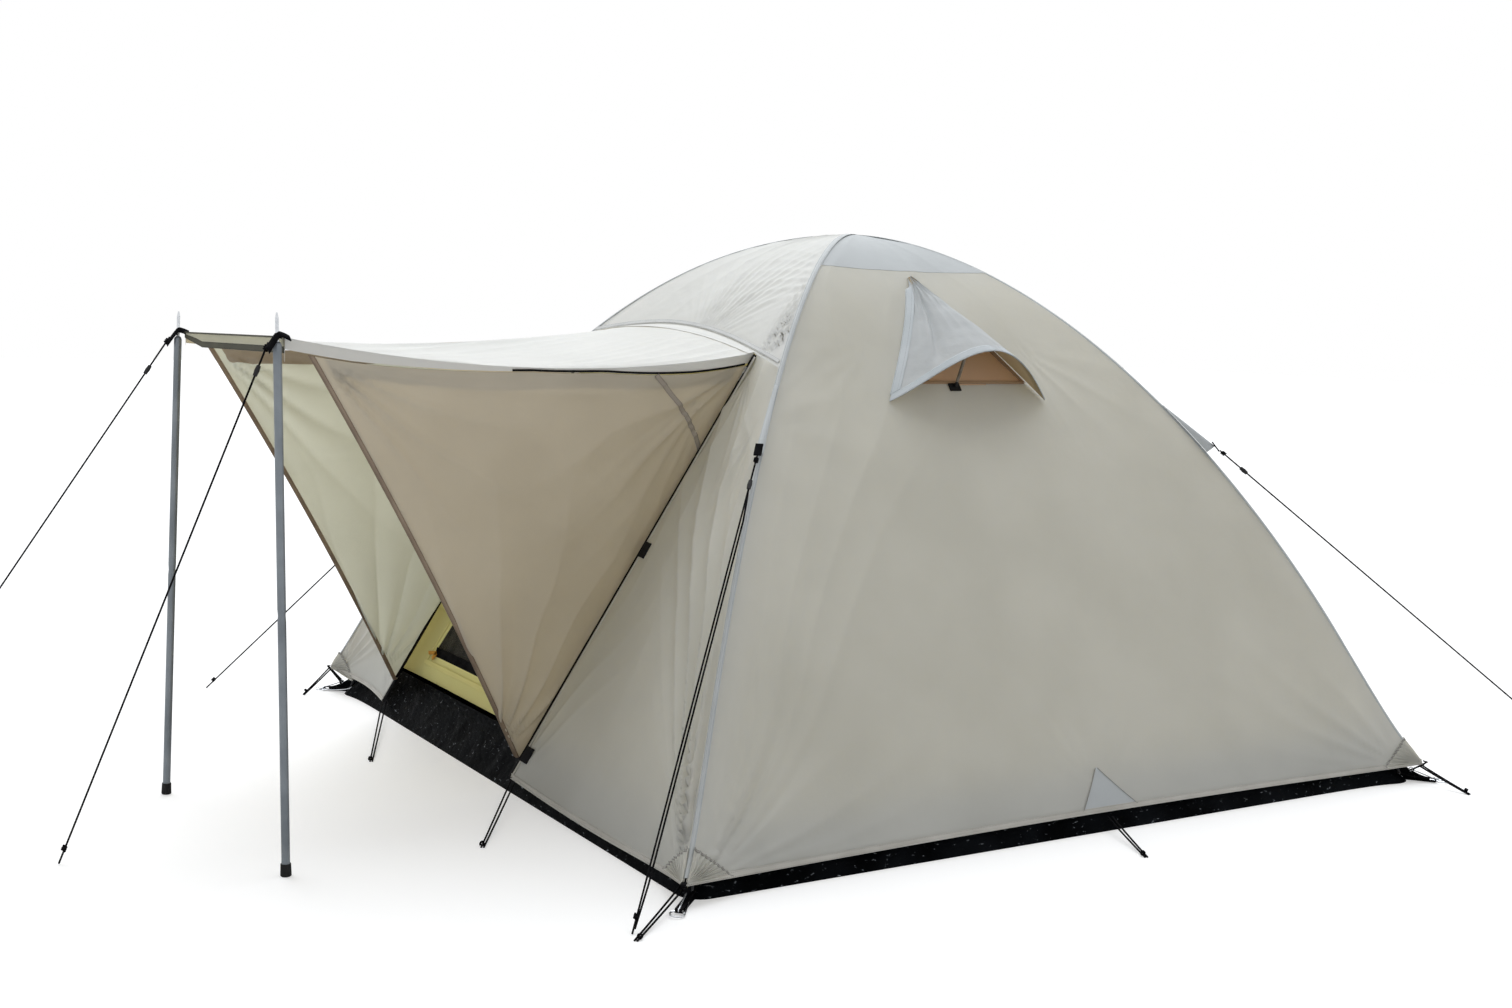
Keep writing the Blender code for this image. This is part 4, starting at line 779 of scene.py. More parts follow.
def add_corner_fan(wall, name, start, end, outward, at_start):
    def skin(across, down):
        turn = math.pi / 2 * across
        bulge = (math.cos(turn) ** PATCH_ROUND + math.sin(turn) ** PATCH_ROUND) ** (-1 / PATCH_ROUND)
        reach = bulge * (0.03 + 0.97 * down)
        share = (PATCH_INSET + PATCH_ALONG * reach * math.cos(turn)) / HEM_SPAN
        height = HEM_HEIGHT + PATCH_INSET + PATCH_UP * reach * math.sin(turn)
        point = wall_at(start, end, share if at_start else 1 - share, height, lap=0.001)
        fold = 1 - 2 * abs(math.sin(turn * 2 * PATCH_PLEATS)) ** 0.7
        pleat = PLEAT_DEPTH * fold * min(1.0, down * 2.0)
        return point + outward * (PATCH_LIFT + pleat)

    patch = panel(f"corner_patch_{name}", skin, 96, 14, outward, [fly_cloth], (0.16, 0.1), 0.0008)
    seam = ribbon(f"corner_seam_{name}", lambda run: skin(run, 0.97),
                  lambda run: (skin(run, 1.0) - skin(run, 0.9)).normalized(), outward, 0.005, 0.12,
                  patch_seam, 60, 0.0010, columns=3)
    fly_sheets[wall][1].extend([patch, seam])


for name, (start, end, along, outward, pulls) in WALLS.items():
    for corner, at_start in ((start, True), (end, False)):
        add_corner_fan(name, f"{name}_{corner}", start, end, outward, at_start)
add_corner_fan("front_near", "front_near", "left", "near", FRONT_OUT, False)
add_corner_fan("front_far", "front_left", "left", "near", FRONT_OUT, True)


def side_patch(across, down):
    beside = (across - 0.5) * SIDE_PATCH_WIDTH * (1 - down * 0.97)
    share = 0.5 + (SIDE_PATCH_AT + beside - SIDE_PATCH_LEAN * down) / WALL_WIDTH
    return wall_at("near", "right", share, HEM_HEIGHT + 0.010 + SIDE_PATCH_UP * down) + RIGHT_OUT * 0.0020


right_wall, right_trims = fly_sheets["right"]
right_trims.append(panel("side_patch", side_patch, 16, 16, RIGHT_OUT, [cap_cloth], (0.16, 0.1), 0.0009))
for edge in (0, 1):
    right_trims.append(ribbon(f"side_patch_seam_{edge}", lambda run: side_patch(edge, 0.98 * run),
                              Vector((0, 0.83, 0.55 - 1.1 * edge)), RIGHT_OUT, 0.004, 0.11, patch_seam, 20,
                              0.0010))


# Black webbing loops are sewn in at the flysheet's corners. Each goes down from the hem, round the
# eye of a wire hook and back up under the cloth.
for corner in CORNERS:
    outward = diagonal(corner).normalized()
    hem = flared(ridge_at(corner, HEM_HEIGHT))
    high = flared(ridge_at(corner, HEM_HEIGHT + 0.010)) + outward * 0.0036
    eye = diagonal(corner) * (FLY_HALF * ridge_reach(corner, HEM_HEIGHT / FLY_HEIGHT) + 0.012)
    eye += UP * (HEM_HEIGHT - 0.0025)
    stops = [high] + [place + outward * out + UP * rise for place, out, rise in (
        (hem, 0.006, 0.006), (eye, 0.0068, 0.001), (eye, 0.005, -0.0055), (eye, 0.0, -0.0072),
        (eye, -0.007, -0.004), (hem, -0.002, -0.0005))]
    fly_sheets["rear"][1].append(ribbon(
        f"corner_webbing_{corner}", lambda run: along_stops(stops, run), UP.cross(outward), outward * 0.001,
        0.012, 0.08, black_webbing, 30, slot_name="black_webbing"))


# A hood of the same cloth stands off the right wall over the vent. Its lip is a doubled band,
# its lining is painted a darker, warm brown as painted shade inside the hood, and a small prop with a black pad
# holds it out.
VENT_TOP, VENT_TIPS = (-0.044, 1.246), (-0.300, 0.190)
VENT_TIP_HEIGHT, VENT_LIP_RISE, VENT_DEPTH, VENT_SKEW = 0.948, 0.121, 0.150, 1.2
HOOD_SEAT, LIP_BAND, PROP_PAD_TOP = 0.0044, 0.024, 0.992
HOOD_GATHER, HOOD_DART, HOOD_FOLD, HOOD_WAVE, HOOD_CRINKLE = 0.0060, 0.0150, 0.004, 0.004, 0.0025


def on_right_wall(y, height, out=0.0):
    near, right = ridge_at("near", height), ridge_at("right", height)
    x = wall_at("near", "right", (y - near.y) / (right.y - near.y), height, lap=SEAM_GAP).x
    return Vector((x + out, y, height))


def hood_skin(across, down):
    reach = 0.015 + 0.985 * down
    arch = math.sin(math.pi * across ** VENT_SKEW)
    lip_y = VENT_TIPS[0] + (VENT_TIPS[1] - VENT_TIPS[0]) * across
    lip_z = VENT_TIP_HEIGHT + VENT_LIP_RISE * arch
    y = VENT_TOP[0] + (lip_y - VENT_TOP[0]) * reach
    height = VENT_TOP[1] + (lip_z - VENT_TOP[1]) * reach
    return on_right_wall(y, height, HOOD_SEAT + (VENT_DEPTH - HOOD_SEAT) * arch * reach)


def hood_cloth(across, down):
    """The hood with gathers at its top, a dart by its left side and a fold over its crown."""
    arch = math.sin(math.pi * across)
    gathers = HOOD_GATHER * (1 - 2 * abs(math.sin(across * 34 + down * 3))) * math.exp(-down / 0.26) * arch
    dart = math.exp(-((across - 0.26 - 0.10 * (1 - down)) / 0.030) ** 2) * down * (1 - down) * 3.2
    crown_fold = HOOD_FOLD * math.exp(-((across - 0.60) / 0.05) ** 2) * down
    waves = HOOD_WAVE * noise.noise(Vector((across * 5, down * 4, 2.0)))
    waves += HOOD_CRINKLE * noise.noise(Vector((across * 16, down * 9, 6.0)))
    rise = (gathers - HOOD_DART * dart + crown_fold + waves) * min(1, arch * 3) * (1 - 0.6 * down ** 6)
    return hood_skin(across, down) + RIGHT_OUT * rise


hood_cover = woven("hood_cloth", ((0.55, 0.585, 0.60), (0.62, 0.65, 0.665)), glow=0.22,
                   glow_colour=(0.72, 0.71, 0.68), crumple=1.0)
# Painted shade: the hood's inside is painted darker and warmer than its outside.
hood_inside_painted_shade = woven("hood_inside_painted_shade", ((0.40, 0.31, 0.17), (0.48, 0.38, 0.22)), glow=0.30,
                    glow_colour=(0.80, 0.62, 0.36), crumple=0.3)
lip_tape = stitched("lip_tape", ((0.47, 0.51, 0.53), (0.54, 0.575, 0.595)), LIP_BAND)
hood = panel("vent_hood_sheet", hood_cloth, 84, 60, RIGHT_OUT, [hood_cover, hood_inside_painted_shade], (0.50, 0.30), 0.0012)
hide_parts("vent_hood")


def lip_way(run):
    return (hood_skin(run, 1.0) - hood_skin(run, 0.93)).normalized()


def lip_lift(run):
    along = hood_skin(min(1, run + 0.01), 0.97) - hood_skin(max(0, run - 0.01), 0.97)
    lift = along.cross(lip_way(run)).normalized()
    return lift if lift.x + lift.z > 0 else -lift


lip = ribbon("vent_hood_lip",
             lambda run: hood_skin(0.004 + 0.992 * run, 1.0) - lip_way(run) * (LIP_BAND * 0.48),
             lip_way, lip_lift, LIP_BAND, 0.6, lip_tape, 70, 0.0016, columns=5)


def hood_side(run):
    return 0.08 + 0.86 * run


right_trims.append(ribbon(
    "vent_hood_edge", lambda run: hood_cloth(0.02, hood_side(run)),
    lambda run: (hood_skin(0.10, hood_side(run)) - hood_skin(0.0, hood_side(run))).normalized(),
    Vector((0.86, -0.3, 0.4)), 0.030, 0.34, lip_tape, 50))


def two_tone(name, low, high, height):
    """Moulded pad at the foot, grey strap above it."""
    made, tree, shader, coords, strap = material(name, high, 60, 0.55, shine=0.2)
    place = node(tree, "SeparateXYZ", {"Vector": coords["Object"]})
    above = reckon(tree, "GREATER_THAN", place.outputs["Z"], height)
    both = node(tree, "Mix", {0: above, 6: (*low, 1.0), 7: strap}, data_type="RGBA")
    tree.links.new(both.outputs[2], shader.inputs["Base Color"])
    fine = node(tree, "TexNoise", {"Vector": coords["Object"], "Scale": 900.0, "Detail": 3.0})
    bumps(tree, shader, [(fine.outputs["Fac"], 0.3, 0.0002)])
    return made


dress(two_tone("prop_strap", (0.006, 0.006, 0.006), ((0.16, 0.14, 0.11), (0.26, 0.23, 0.19)), PROP_PAD_TOP),
      "vent_prop")


def hole_line(run):
    y = HOLE_MIDDLE + HOLE_HALF * math.cos(math.pi * (1 - run))
    return on_right_wall(y, HOLE_SILL + hole_top(y))


def hole_way(run):
    away = hole_line(run) - Vector((0, HOLE_MIDDLE, HOLE_SILL))
    return Vector((-away.z * 0.5, away.y, away.z)).normalized()


def vent_screen(across, down):
    """Net sewn behind the vent's hole."""
    y = HOLE_MIDDLE + (HOLE_HALF + 0.004) * math.cos(math.pi * (1 - across))
    return on_right_wall(y, HOLE_SILL - 0.006 + (hole_top(y) + 0.012) * down, -0.0025)


hole_binding = stitched("hole_binding", ((0.34, 0.215, 0.12), (0.39, 0.255, 0.145)), HOLE_BINDING)
binding = ribbon("vent_hole_binding", hole_line, hole_way, RIGHT_OUT, HOLE_BINDING, 0.5, hole_binding, 60)
sill = ribbon("vent_sill_binding", lambda run: on_right_wall(-0.185 + 0.332 * run, HOLE_SILL),
              Vector((-0.45, 0, 0.89)), RIGHT_OUT, 0.008, 0.3, hole_binding, 30)
# Painted light: the net is painted a bright warm orange for the lit cloth seen through it.
vent_net = woven("vent_net", ((0.80, 0.60, 0.42), (0.87, 0.67, 0.48)), weave=0.002, glow=0.4,
                 glow_colour=(0.92, 0.70, 0.48), crumple=0.15)
screen = panel("vent_net", vent_screen, 60, 30, RIGHT_OUT, [vent_net], (0.3, 0.19), 0.0005)
right_trims.extend([binding, sill, screen])


# Folded beaks of cloth on the ridges end in black webbing, and the guylines start from that webbing.
# Each is a flat fold of the seam, wide at its foot and closed along its outer edge.
FLAP_TOP = {"near": 0.985, "right": 0.935, "far": 0.935, "left": 0.935}
FLAP_TIP = {"near": (0.853, 0.016), "right": (0.834, 0.026), "far": (0.862, 0.022), "left": (0.862, 0.022)}
FLAP_DEPTH, FLAP_HALF, FLAP_FALL, FLAP_WEBBING = 0.040, 0.009, -1.25, 0.017

for corner in CORNERS:
    outward = diagonal(corner).normalized()
    tip_height, standoff = FLAP_TIP[corner]
    reach = FLY_HALF * ridge_reach(corner, tip_height / FLY_HEIGHT) + standoff
    tip = diagonal(corner) * reach + UP * tip_height
    side_way = UP.cross(outward)

    def beak(across, down):
        turn = math.pi * across
        rise = math.sin(turn)
        root = ridge_at(corner, FLAP_TOP[corner] + (tip.z - FLAP_DEPTH * 0.4 - FLAP_TOP[corner]) * down)
        edge = (ridge_at(corner, FLAP_TOP[corner]) + outward * 0.003).lerp(tip, down)
        half = FLAP_HALF * (0.5 + 0.5 * down)
        return root.lerp(edge, rise) + side_way * (half * math.cos(turn)) + outward * 0.0026 * (1 - rise)

    flap = panel(f"ridge_beak_{corner}", beak, 16, 30, outward, [cap_cloth], (0.06, 0.16), 0.0008)
    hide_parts(f"ridge_flap_{corner}")
    fall = Vector((outward.x, outward.y, FLAP_FALL)).normalized()
    lift = fall.cross(side_way)
    webbing = ribbon(f"beak_webbing_{corner}",
                     lambda run: tip - fall * 0.012 + fall * 0.030 * run - outward * 0.001, side_way,
                     lift if lift.z > 0 else -lift, FLAP_WEBBING, 0.03, black_webbing, 8, 0.0030,
                     slot_name="black_webbing")


# Black coil zips close the entrance from the hem up to the yoke, each with a metal slider and puller,
# and hook-and-loop tabs fold over the near one. A narrow strip of cloth is sewn along each zip's outer side.
def coil_zip(name, width):
    made, tree, shader, coords, tint = material(
        name, ((0.003, 0.003, 0.0035), (0.010, 0.010, 0.011)), 40, 0.7, shine=0.08)
    teeth = node(tree, "TexWave", {"Vector": coords["UV"], "Scale": 130.0}, bands_direction="Y")
    place = node(tree, "SeparateXYZ", {"Vector": coords["UV"]})
    coil = reckon(tree, "COMPARE", place.outputs["X"], width / 2, width * 0.28)
    bumps(tree, shader, [(reckon(tree, "MULTIPLY", teeth.outputs["Fac"], coil), 0.8, 0.001)])
    return made


zip_tape = coil_zip("zip_tape", ZIP_WIDTH)
hook_tab = grained("hook_tab", ((0.003, 0.003, 0.0035), (0.008, 0.008, 0.009)), 0.95, grain=2600.0,
                   depth=0.0004)
ZIP_LENGTH = 1.17
# Each band: its name, where it starts and how far it runs, how far aside, width, thickness, columns.
ZIP_BANDS = (("tape", 0.002, 0.996, 0.0022, ZIP_WIDTH + 0.0044, 0.0016, 6, zip_tape, "zip_tape"),
             ("coil", 0.004, 0.990, 0.0, 0.0046, 0.0022, 4, zip_tape, "zip_tape"),
             ("flap", 0.004, 0.990, 0.0106, 0.0060, 0.0026, 3, hem_tape, "fly_cloth"))
TABS, TAB_ASIDE, TAB_WIDTH, TAB_LENGTH = (0.545, 0.060), 0.025, 0.034, 0.040
for side in ("near", "far"):
    bands = [ribbon(f"zip_{side}_{part}",
                    lambda run: zip_at(side, low + share * run) + zip_side(side, run) * aside,
                    lambda run: zip_side(side, run), zip_face(side, 0.5), width, ZIP_LENGTH, finish, 120, thick,
                    columns=columns, slot_name=slot)
             for part, low, share, aside, width, thick, columns, finish, slot in ZIP_BANDS]
    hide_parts(f"zip_{side}")
    fly_sheets[f"front_{side}"][1].extend(bands)
    dress(bright_wire, f"zip_slider_{side}")
for count, climb in enumerate(TABS):
    over = zip_side("near", climb)
    middle = zip_at("near", climb) + over * TAB_ASIDE
    upward = (ZIP_LINE["near"][1] - ZIP_LINE["near"][0]).normalized()
    tab = ribbon(f"zip_tab_{count}", lambda run: middle + upward * (TAB_LENGTH * (run - 0.5)), over,
                 zip_face("near", climb), TAB_WIDTH, TAB_LENGTH, hook_tab, 8, 0.0044, slot_name="black_webbing")
    fly_sheets["front_near"][1].append(tab)

FLAT_SIZES = {**dict.fromkeys(WALLS, (2.1, 1.74, 2.25)), "front_near": (0.89, 1.20, 0.61),
              "front_far": (0.50, 1.20, 0.25), "yoke": (1.15, 0.68, 0.34)}
for name, (sheet, trims) in fly_sheets.items():
    width, length, area = FLAT_SIZES[name]


# The awning's roof is the rolled-out door: one sheet from the yoke to the two tips. Its side edges hang
# as strips over the wings, its front edge ends in a doubled hem, and it sags between the tips.
TIP = {"near": Vector((0.545, -1.703, 1.065)), "far": Vector((-0.159, -1.727, 1.058))}
ROOF_SAG, STRIP_DROP, ZIP_DROP, TIP_DROP, HEM_DROP = 0.055, 0.017, 0.011, 0.021, 0.024
EDGE_SAG = {"near": 0.045, "far": 0.030}
TAB_REACH, ROOF_LAP, TIP_LIFT = 0.024, 0.008, 0.009
TUBE_RADIUS, TAB_HOLE = 0.0085, 0.0051
TAB_LOWER = TIP["near"].z - TUBE_RADIUS + math.sqrt(TUBE_RADIUS**2 - TAB_HOLE**2)
ROOF_COLUMNS, ROOF_ROWS, ROOF_FINE = 12, 13, 12
FORWARD = Vector((0, -1, 0))


def roof_corner(side):
    other = {"near": "far", "far": "near"}[side]
    inward = Vector(((TIP[other] - TIP[side]).x * 0.4, ZIP_LINE[side][1].y - TIP[side].y, 0))
    corner = TIP[side] + inward.normalized() * (TAB_REACH - ROOF_LAP)
    return Vector((corner.x, corner.y, TAB_LOWER + TIP_LIFT + TIP[side].z - TIP["near"].z))


def roof_edge(side, out):
    start = zip_edge(side, 1) + Vector((0, -2 * SEAM_GAP, -SEAM_GAP))
    return start.lerp(roof_corner(side), out) - UP * (EDGE_SAG[side] * 4 * out * (1 - out))


def strip_drop(out):
    """Depth of the hanging strip: deep by the zip, shallow in the middle, deeper again at the tip."""
    by_zip = STRIP_DROP * (0.12 + 0.88 * max(0.0, 1 - (out / 0.52) ** 2))
    by_zip += ZIP_DROP * max(0.0, 1 - (out / 0.35) ** 2)
    return by_zip + TIP_DROP * min(1.0, max(0.0, (out - 0.38) / 0.5))


def strip_foot(side, out, below=0.0):
    foot, top = ZIP_LINE[side]
    down = (foot - top).normalized() * (strip_drop(out) + below)
    hang = -UP * (strip_drop(out) + below)
    return roof_edge(side, out) + down.lerp(hang, min(1.0, out / 0.15))


def root_seam(far_x, near_x, inner):
    """Point of the yoke's seam between two places along x."""
    first, last = seam_share(far_x), seam_share(near_x)
    return seam_at(first + (last - first) * inner)


def roof_place(across, down):
    """Place between the side edges, which passes 0 and 1 on the strips, and the share of the way out."""
    return (across * ROOF_COLUMNS - 1) / (ROOF_COLUMNS - 2), min(1.0, down * ROOF_ROWS / (ROOF_ROWS - 1))


def roof_skin(across, down):
    place, out = roof_place(across, down)
    hem = max(0.0, down * ROOF_ROWS - (ROOF_ROWS - 1))
    inner = min(1.0, max(0.0, place))
    far, near = roof_edge("far", out), roof_edge("near", out)
    chord = zip_at("far", 1).lerp(zip_at("near", 1), inner)
    lift = (root_seam(far.x, near.x, inner) - chord) * (1 - out) ** 3
    point = far.lerp(near, inner) + Vector((0, min(0, lift.y), lift.z))
    point -= UP * (ROOF_SAG * 4 * inner * (1 - inner) * 4 * out * (1 - out) * 0.5)
    for side, over in (("far", max(0.0, -place)), ("near", max(0.0, place - 1))):
        point = point + (strip_foot(side, out) - roof_edge(side, out)) * min(1.0, over * (ROOF_COLUMNS - 2))
    return point - UP * (HEM_DROP * hem * min(1.0, 0.2 + inner * 4))


def roof_cloth(across, down):
    """The roof with the long ripples that its taut side edges pull, and puckers where it hangs."""
    place, out = roof_place(across, down)
    inner = min(1.0, max(0.0, place))
    rise = 0.006 * noise.noise(Vector((inner * 4, out * 3, 8.0))) * 4 * inner * (1 - inner)
    for edge, depth in ((1 - inner, 0.016), (inner, 0.009)):
        wander = 5.5 * noise.noise(Vector((out * 1.6, edge * 3, 5.0)))
        ripple = 1 - 2 * abs(math.sin(edge * 38 + wander)) ** 0.8
        swell = max(0.0, math.sin(math.pi * out)) ** 0.5 * (0.5 + out * 0.5)
        rise += depth * ripple * math.exp(-edge / 0.26) * swell
    fade = min(1.0, inner / 0.02, (1 - inner) / 0.02) * min(1.0, out / 0.04)
    swing = 0.0025 * noise.noise(Vector((out * 9, across * 2, 3.0))) if inner in (0.0, 1.0) else 0.0
    return roof_skin(across, down) + UP * (rise * fade) + Vector((swing, 0, 0))


awning_cloth = woven("awning_cloth", ((0.715, 0.675, 0.575), (0.785, 0.745, 0.64)), glow=0.42,
                     glow_colour=(0.86, 0.77, 0.61))
awning_lining = woven("awning_lining", ((0.72, 0.68, 0.575), (0.79, 0.745, 0.64)), glow=0.75,
                      glow_colour=(0.90, 0.82, 0.66))
roof = panel("awning_roof_sheet", roof_cloth, ROOF_COLUMNS * ROOF_FINE, ROOF_ROWS * ROOF_FINE, UP,
             [painted_lit_cloth, awning_lining], (1.0, 1.25))
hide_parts("awning_roof")


def front_hem(run):
    return roof_skin((1 + run * (ROOF_COLUMNS - 2)) / ROOF_COLUMNS, 1.0)


def taut_line(run):
    return roof_corner("far").lerp(roof_corner("near"), run) + Vector((0, -0.0022, 0.0005))


def valance_skin(side, run):
    return front_hem(run).lerp(taut_line(run), 0.1 + 0.9 * side) + FORWARD * 0.001


def roof_root(side, run):
    """The lap that fills in between the roof's straight root and the yoke's curved seam."""
    outer = roof_skin((1 + run * (ROOF_COLUMNS - 2)) / ROOF_COLUMNS, 0.014)
    seam = root_seam(roof_edge("far", 0.0).x, roof_edge("near", 0.0).x, run)
    return outer.lerp(seam + Vector((0, 0.001, 0.003)), side) + UP * (0.0016 * (1 - side))


# Painted shade: the doubled front hem and the taut line along the front edge are painted dark olive for the
# shade they lie in.
hem_painted_shade = stitched("hem_painted_shade", ((0.045, 0.043, 0.024), (0.075, 0.072, 0.042)), 0.013)
# Painted light: the strip under the front hem is painted the pale yellow-green of the cloth in shade, lit from
# behind.
valance_painted_light = woven("valance_painted_light", ((0.66, 0.64, 0.49), (0.73, 0.71, 0.56)), glow=0.3,
                  glow_colour=(0.86, 0.84, 0.66))
roof_trims = [
    ribbon("awning_front_hem", front_hem, UP, FORWARD, 0.013, 0.71, hem_painted_shade, 50, 0.0018),
    panel("awning_front_valance", valance_skin, 6, 50, FORWARD, [valance_painted_light], (0.024, 0.71), 0.0012),
    ribbon("awning_front_line", taut_line, UP, FORWARD, 0.0034, 0.70, hem_painted_shade, 30, 0.0024),
    panel("awning_roof_lap", roof_root, 6, 80, YOKE_OUT, [painted_lit_cloth, awning_lining], (0.04, 0.9), 0.0008)]
for side, facing in (("near", 1), ("far", -1)):
    roof_trims.append(ribbon(f"awning_zip_{side}", lambda run: strip_foot(side, 0.01 + 0.55 * run, -0.001), UP,
                             Vector((facing, 0, 0)), 0.0048, 0.65, zip_tape, 90, 0.0020, slot_name="zip_tape"))


# The awning's wings are triangles between the zip, the roof's edge and a brown-bound free edge. Light
# comes through them, and their folds fan out from the zip's foot, its top and the tip.
WING_REACH, WING_FOOT_WIDTH, WING_GAP, WING_BOW = 0.955, 0.012, 0.0036, 0.016
WING_FOOT_HEIGHT = {"near": 0.083, "far": 0.100}
BINDING_WIDTH = 0.011
WING_CELLS = 110


def wing_skin(side):
    foot, top = ZIP_LINE[side]
    lowest = (WING_FOOT_HEIGHT[side] - foot.z) / (top.z - foot.z)
    highest = 1 - (strip_drop(0.0) + WING_GAP) / (top - foot).length

    def root(down):
        return zip_edge(side, highest + (lowest - highest) * down) - Vector((0, SEAM_GAP, 0))

    lip_top = strip_foot(side, WING_REACH, WING_GAP)
    lip_foot = root(1) + (lip_top - root(0)).normalized() * WING_FOOT_WIDTH

    def skin(across, down):
        flat_top = root(0).lerp(lip_top, across)
        hung_top = strip_foot(side, WING_REACH * across, WING_GAP)
        edge = lip_top.lerp(lip_foot, down)
        edge += (root(down) - edge).normalized() * (WING_BOW * 4 * down * (1 - down))
        return root(down).lerp(edge, across) + (hung_top - flat_top) * (1 - down)

    return skin


WING_OUT = {"near": Vector((0.95, 0.09, -0.29)), "far": Vector((-0.93, 0.09, -0.25))}
WING_PULLS = [(0.0, 0.0, 24, 34, 20, 0.0070, 0.60), (0.55, 1.10, -98, 44, 26, 0.0085, 0.60),
              (1.05, 0.0, 158, 40, 26, 0.0085, 0.55), (0.1, 0.04, 60, 30, 40, 0.0045, 0.30)]
brown_binding = stitched("brown_binding", ((0.27, 0.20, 0.145), (0.36, 0.275, 0.20)), BINDING_WIDTH)
# Painted shade: a dark brown band inside each wing's top, under the roof's hanging strip.
painted_shade_band = stitched("painted_shade_band", ((0.40, 0.335, 0.26), (0.48, 0.41, 0.33)), 0.030)
wing_seam = stitched("wing_seam", ((0.36, 0.31, 0.26), (0.44, 0.39, 0.33)), 0.012)
# Painted light: the far wing's inner face is a lighter, greener copy of the awning's cloth, for the light that
# comes through it.
far_wing_painted_light = woven("far_wing_painted_light", ((0.72, 0.775, 0.73), (0.78, 0.835, 0.79)), glow=0.50,
                    glow_colour=(0.88, 0.93, 0.90))

for side, lining in (("near", awning_cloth), ("far", far_wing_painted_light)):
    base, wing_out = wing_skin(side), WING_OUT[side]

    def cloth(across, down):
        u, v = (1 - down) * across * 1.05 + down * 0.5, down * 1.12
        rise = sum(fan(u, v, pull) for pull in WING_PULLS)
        rise += 0.010 * noise.noise(Vector((u * 2.2, v * 2.2, len(side))))
        rise += 0.010 * math.sin(math.pi * across) * math.sin(math.pi * down)
        fade = min(1.0, across / 0.05, (1 - across) / 0.04, down / 0.03, (1 - down) / 0.05)
        return base(across, down) + wing_out * (rise * fade)

    sheet = panel(f"wing_{side}_sheet", cloth, WING_CELLS, WING_CELLS, wing_out, [awning_cloth, lining],
                  (1.1, 1.15), 0.0006, slot_name="awning_cloth")
    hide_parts(f"wing_{side}")
    edge_way = (base(0.9, 0.5) - base(1, 0.5)).normalized()
    tape_over = (base(0.25, 0.0) - base(0.0, 0.21)).normalized().cross(wing_out).normalized()

    def free_edge(run):
        return base(1, run) + edge_way * (BINDING_WIDTH * 0.4)

    def inside_zip(run):
        root = base(0.0, 0.004 + 0.992 * run)
        return root + (base(0.2, 0.004 + 0.992 * run) - root).normalized() * 0.005

    trims = [
        ribbon(f"wing_{side}_binding", free_edge, edge_way, wing_out, BINDING_WIDTH, 1.15, brown_binding, 90,
               0.0014, slot_name="awning_cloth"),
        ribbon(f"wing_{side}_binding_inside", lambda run: free_edge(run) - wing_out * 0.0030, edge_way,
               -wing_out, BINDING_WIDTH + 0.003, 1.15, brown_binding, 90, 0.0014, slot_name="awning_cloth"),
        ribbon(f"wing_{side}_tape", lambda run: cloth(0.25 * (1 - run), 0.21 * run), tape_over, wing_out, 0.012,
               0.35, wing_seam, 60, 0.0016, slot_name="awning_cloth"),
        # Painted shade: a dark brown band on the inside of the wing's top.
        panel(f"wing_{side}_top_painted_shade", lambda across, down: cloth((3 + 104 * across) / WING_CELLS,
                                                                 4 * down / WING_CELLS) - wing_out * 0.0020,
              104, 4, -wing_out, [painted_shade_band], (1.0, 0.03), 0.0006, slot_name="awning_cloth")]
    if side == "far":
        trims.append(ribbon("wing_far_zip_inside", inside_zip,
                            lambda run: (base(0.2, run * 0.98) - base(0.0, run * 0.98)).normalized(),
                            -wing_out, 0.010, 1.15, zip_tape, 100, 0.0022, slot_name="zip_tape"))


# Two uprights of grey coated steel tube stand under the awning's tips. Each is a telescopic tube with a
# domed end, a spike through the tip's webbing and a black rubber foot.
grey_tube = grained("grey_tube", ((0.20, 0.225, 0.25), (0.27, 0.30, 0.33)), 0.38, 14, 320.0, 0.2, 0.0002,
                    metallic=0.35, shine=0.5)
black_rubber = grained("black_rubber", ((0.010, 0.010, 0.010), (0.022, 0.022, 0.022)), 0.75)
for side in ("near", "far"):
    dress(grey_tube, f"upright_{side}")
    dress(bright_wire, f"spike_{side}")
    dress(black_rubber, f"foot_{side}")


# Black webbing is sewn to each tip and folded over the upright's end. The spike goes through it, and
# its outer end falls a little under the guyline's pull.
WEBBING_PEAK, WEBBING_WIDTH, WEBBING_FALL, WEBBING_BEND = 0.012, 0.024, 0.016, 0.011
for side in ("near", "far"):
    inward = (roof_corner(side) - TIP[side]).xy.to_3d().normalized()

    def tip_strap(across, run):
        peak = 1 - abs(2 * run - 1) ** 1.4
        fall = WEBBING_FALL * max(0.0, run - 0.5) * 2 + WEBBING_BEND * (2 * across - 1) ** 2
        beside = UP.cross(inward) * ((across - 0.5) * WEBBING_WIDTH)
        place = TIP[side] + inward * (TAB_REACH * (1 - 2 * run)) + beside
        return place + UP * (WEBBING_PEAK * peak + TIP_LIFT * (1 - run) + 0.0030 - fall)

    strap = panel(f"tip_strap_{side}", tip_strap, 12, 24, UP, [black_webbing], (WEBBING_WIDTH, 0.055), 0.0024,
                  slot_name="black_cord")
    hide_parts(f"tip_webbing_{side}")


# The inner tent is yellow breathable polyester, hung under the poles and sewn to the tub. Its front has
# an arched door with a mesh window, which its zip lets fall inwards.
INNER_HALF, INNER_HEIGHT, INNER_DIP, INNER_FRONT_DIP = 1.0, 1.285, 0.020, 0.070
DOOR_MIDDLE_X, DOOR_SILL, DOOR_HALF, DOOR_SHOULDER = -0.26, 0.150, 0.420, 0.780
DOOR_TOP_HALF, DOOR_ARCH, DOOR_ZIP, WINDOW_BORDER = 0.170, 0.110, 0.014, 0.026

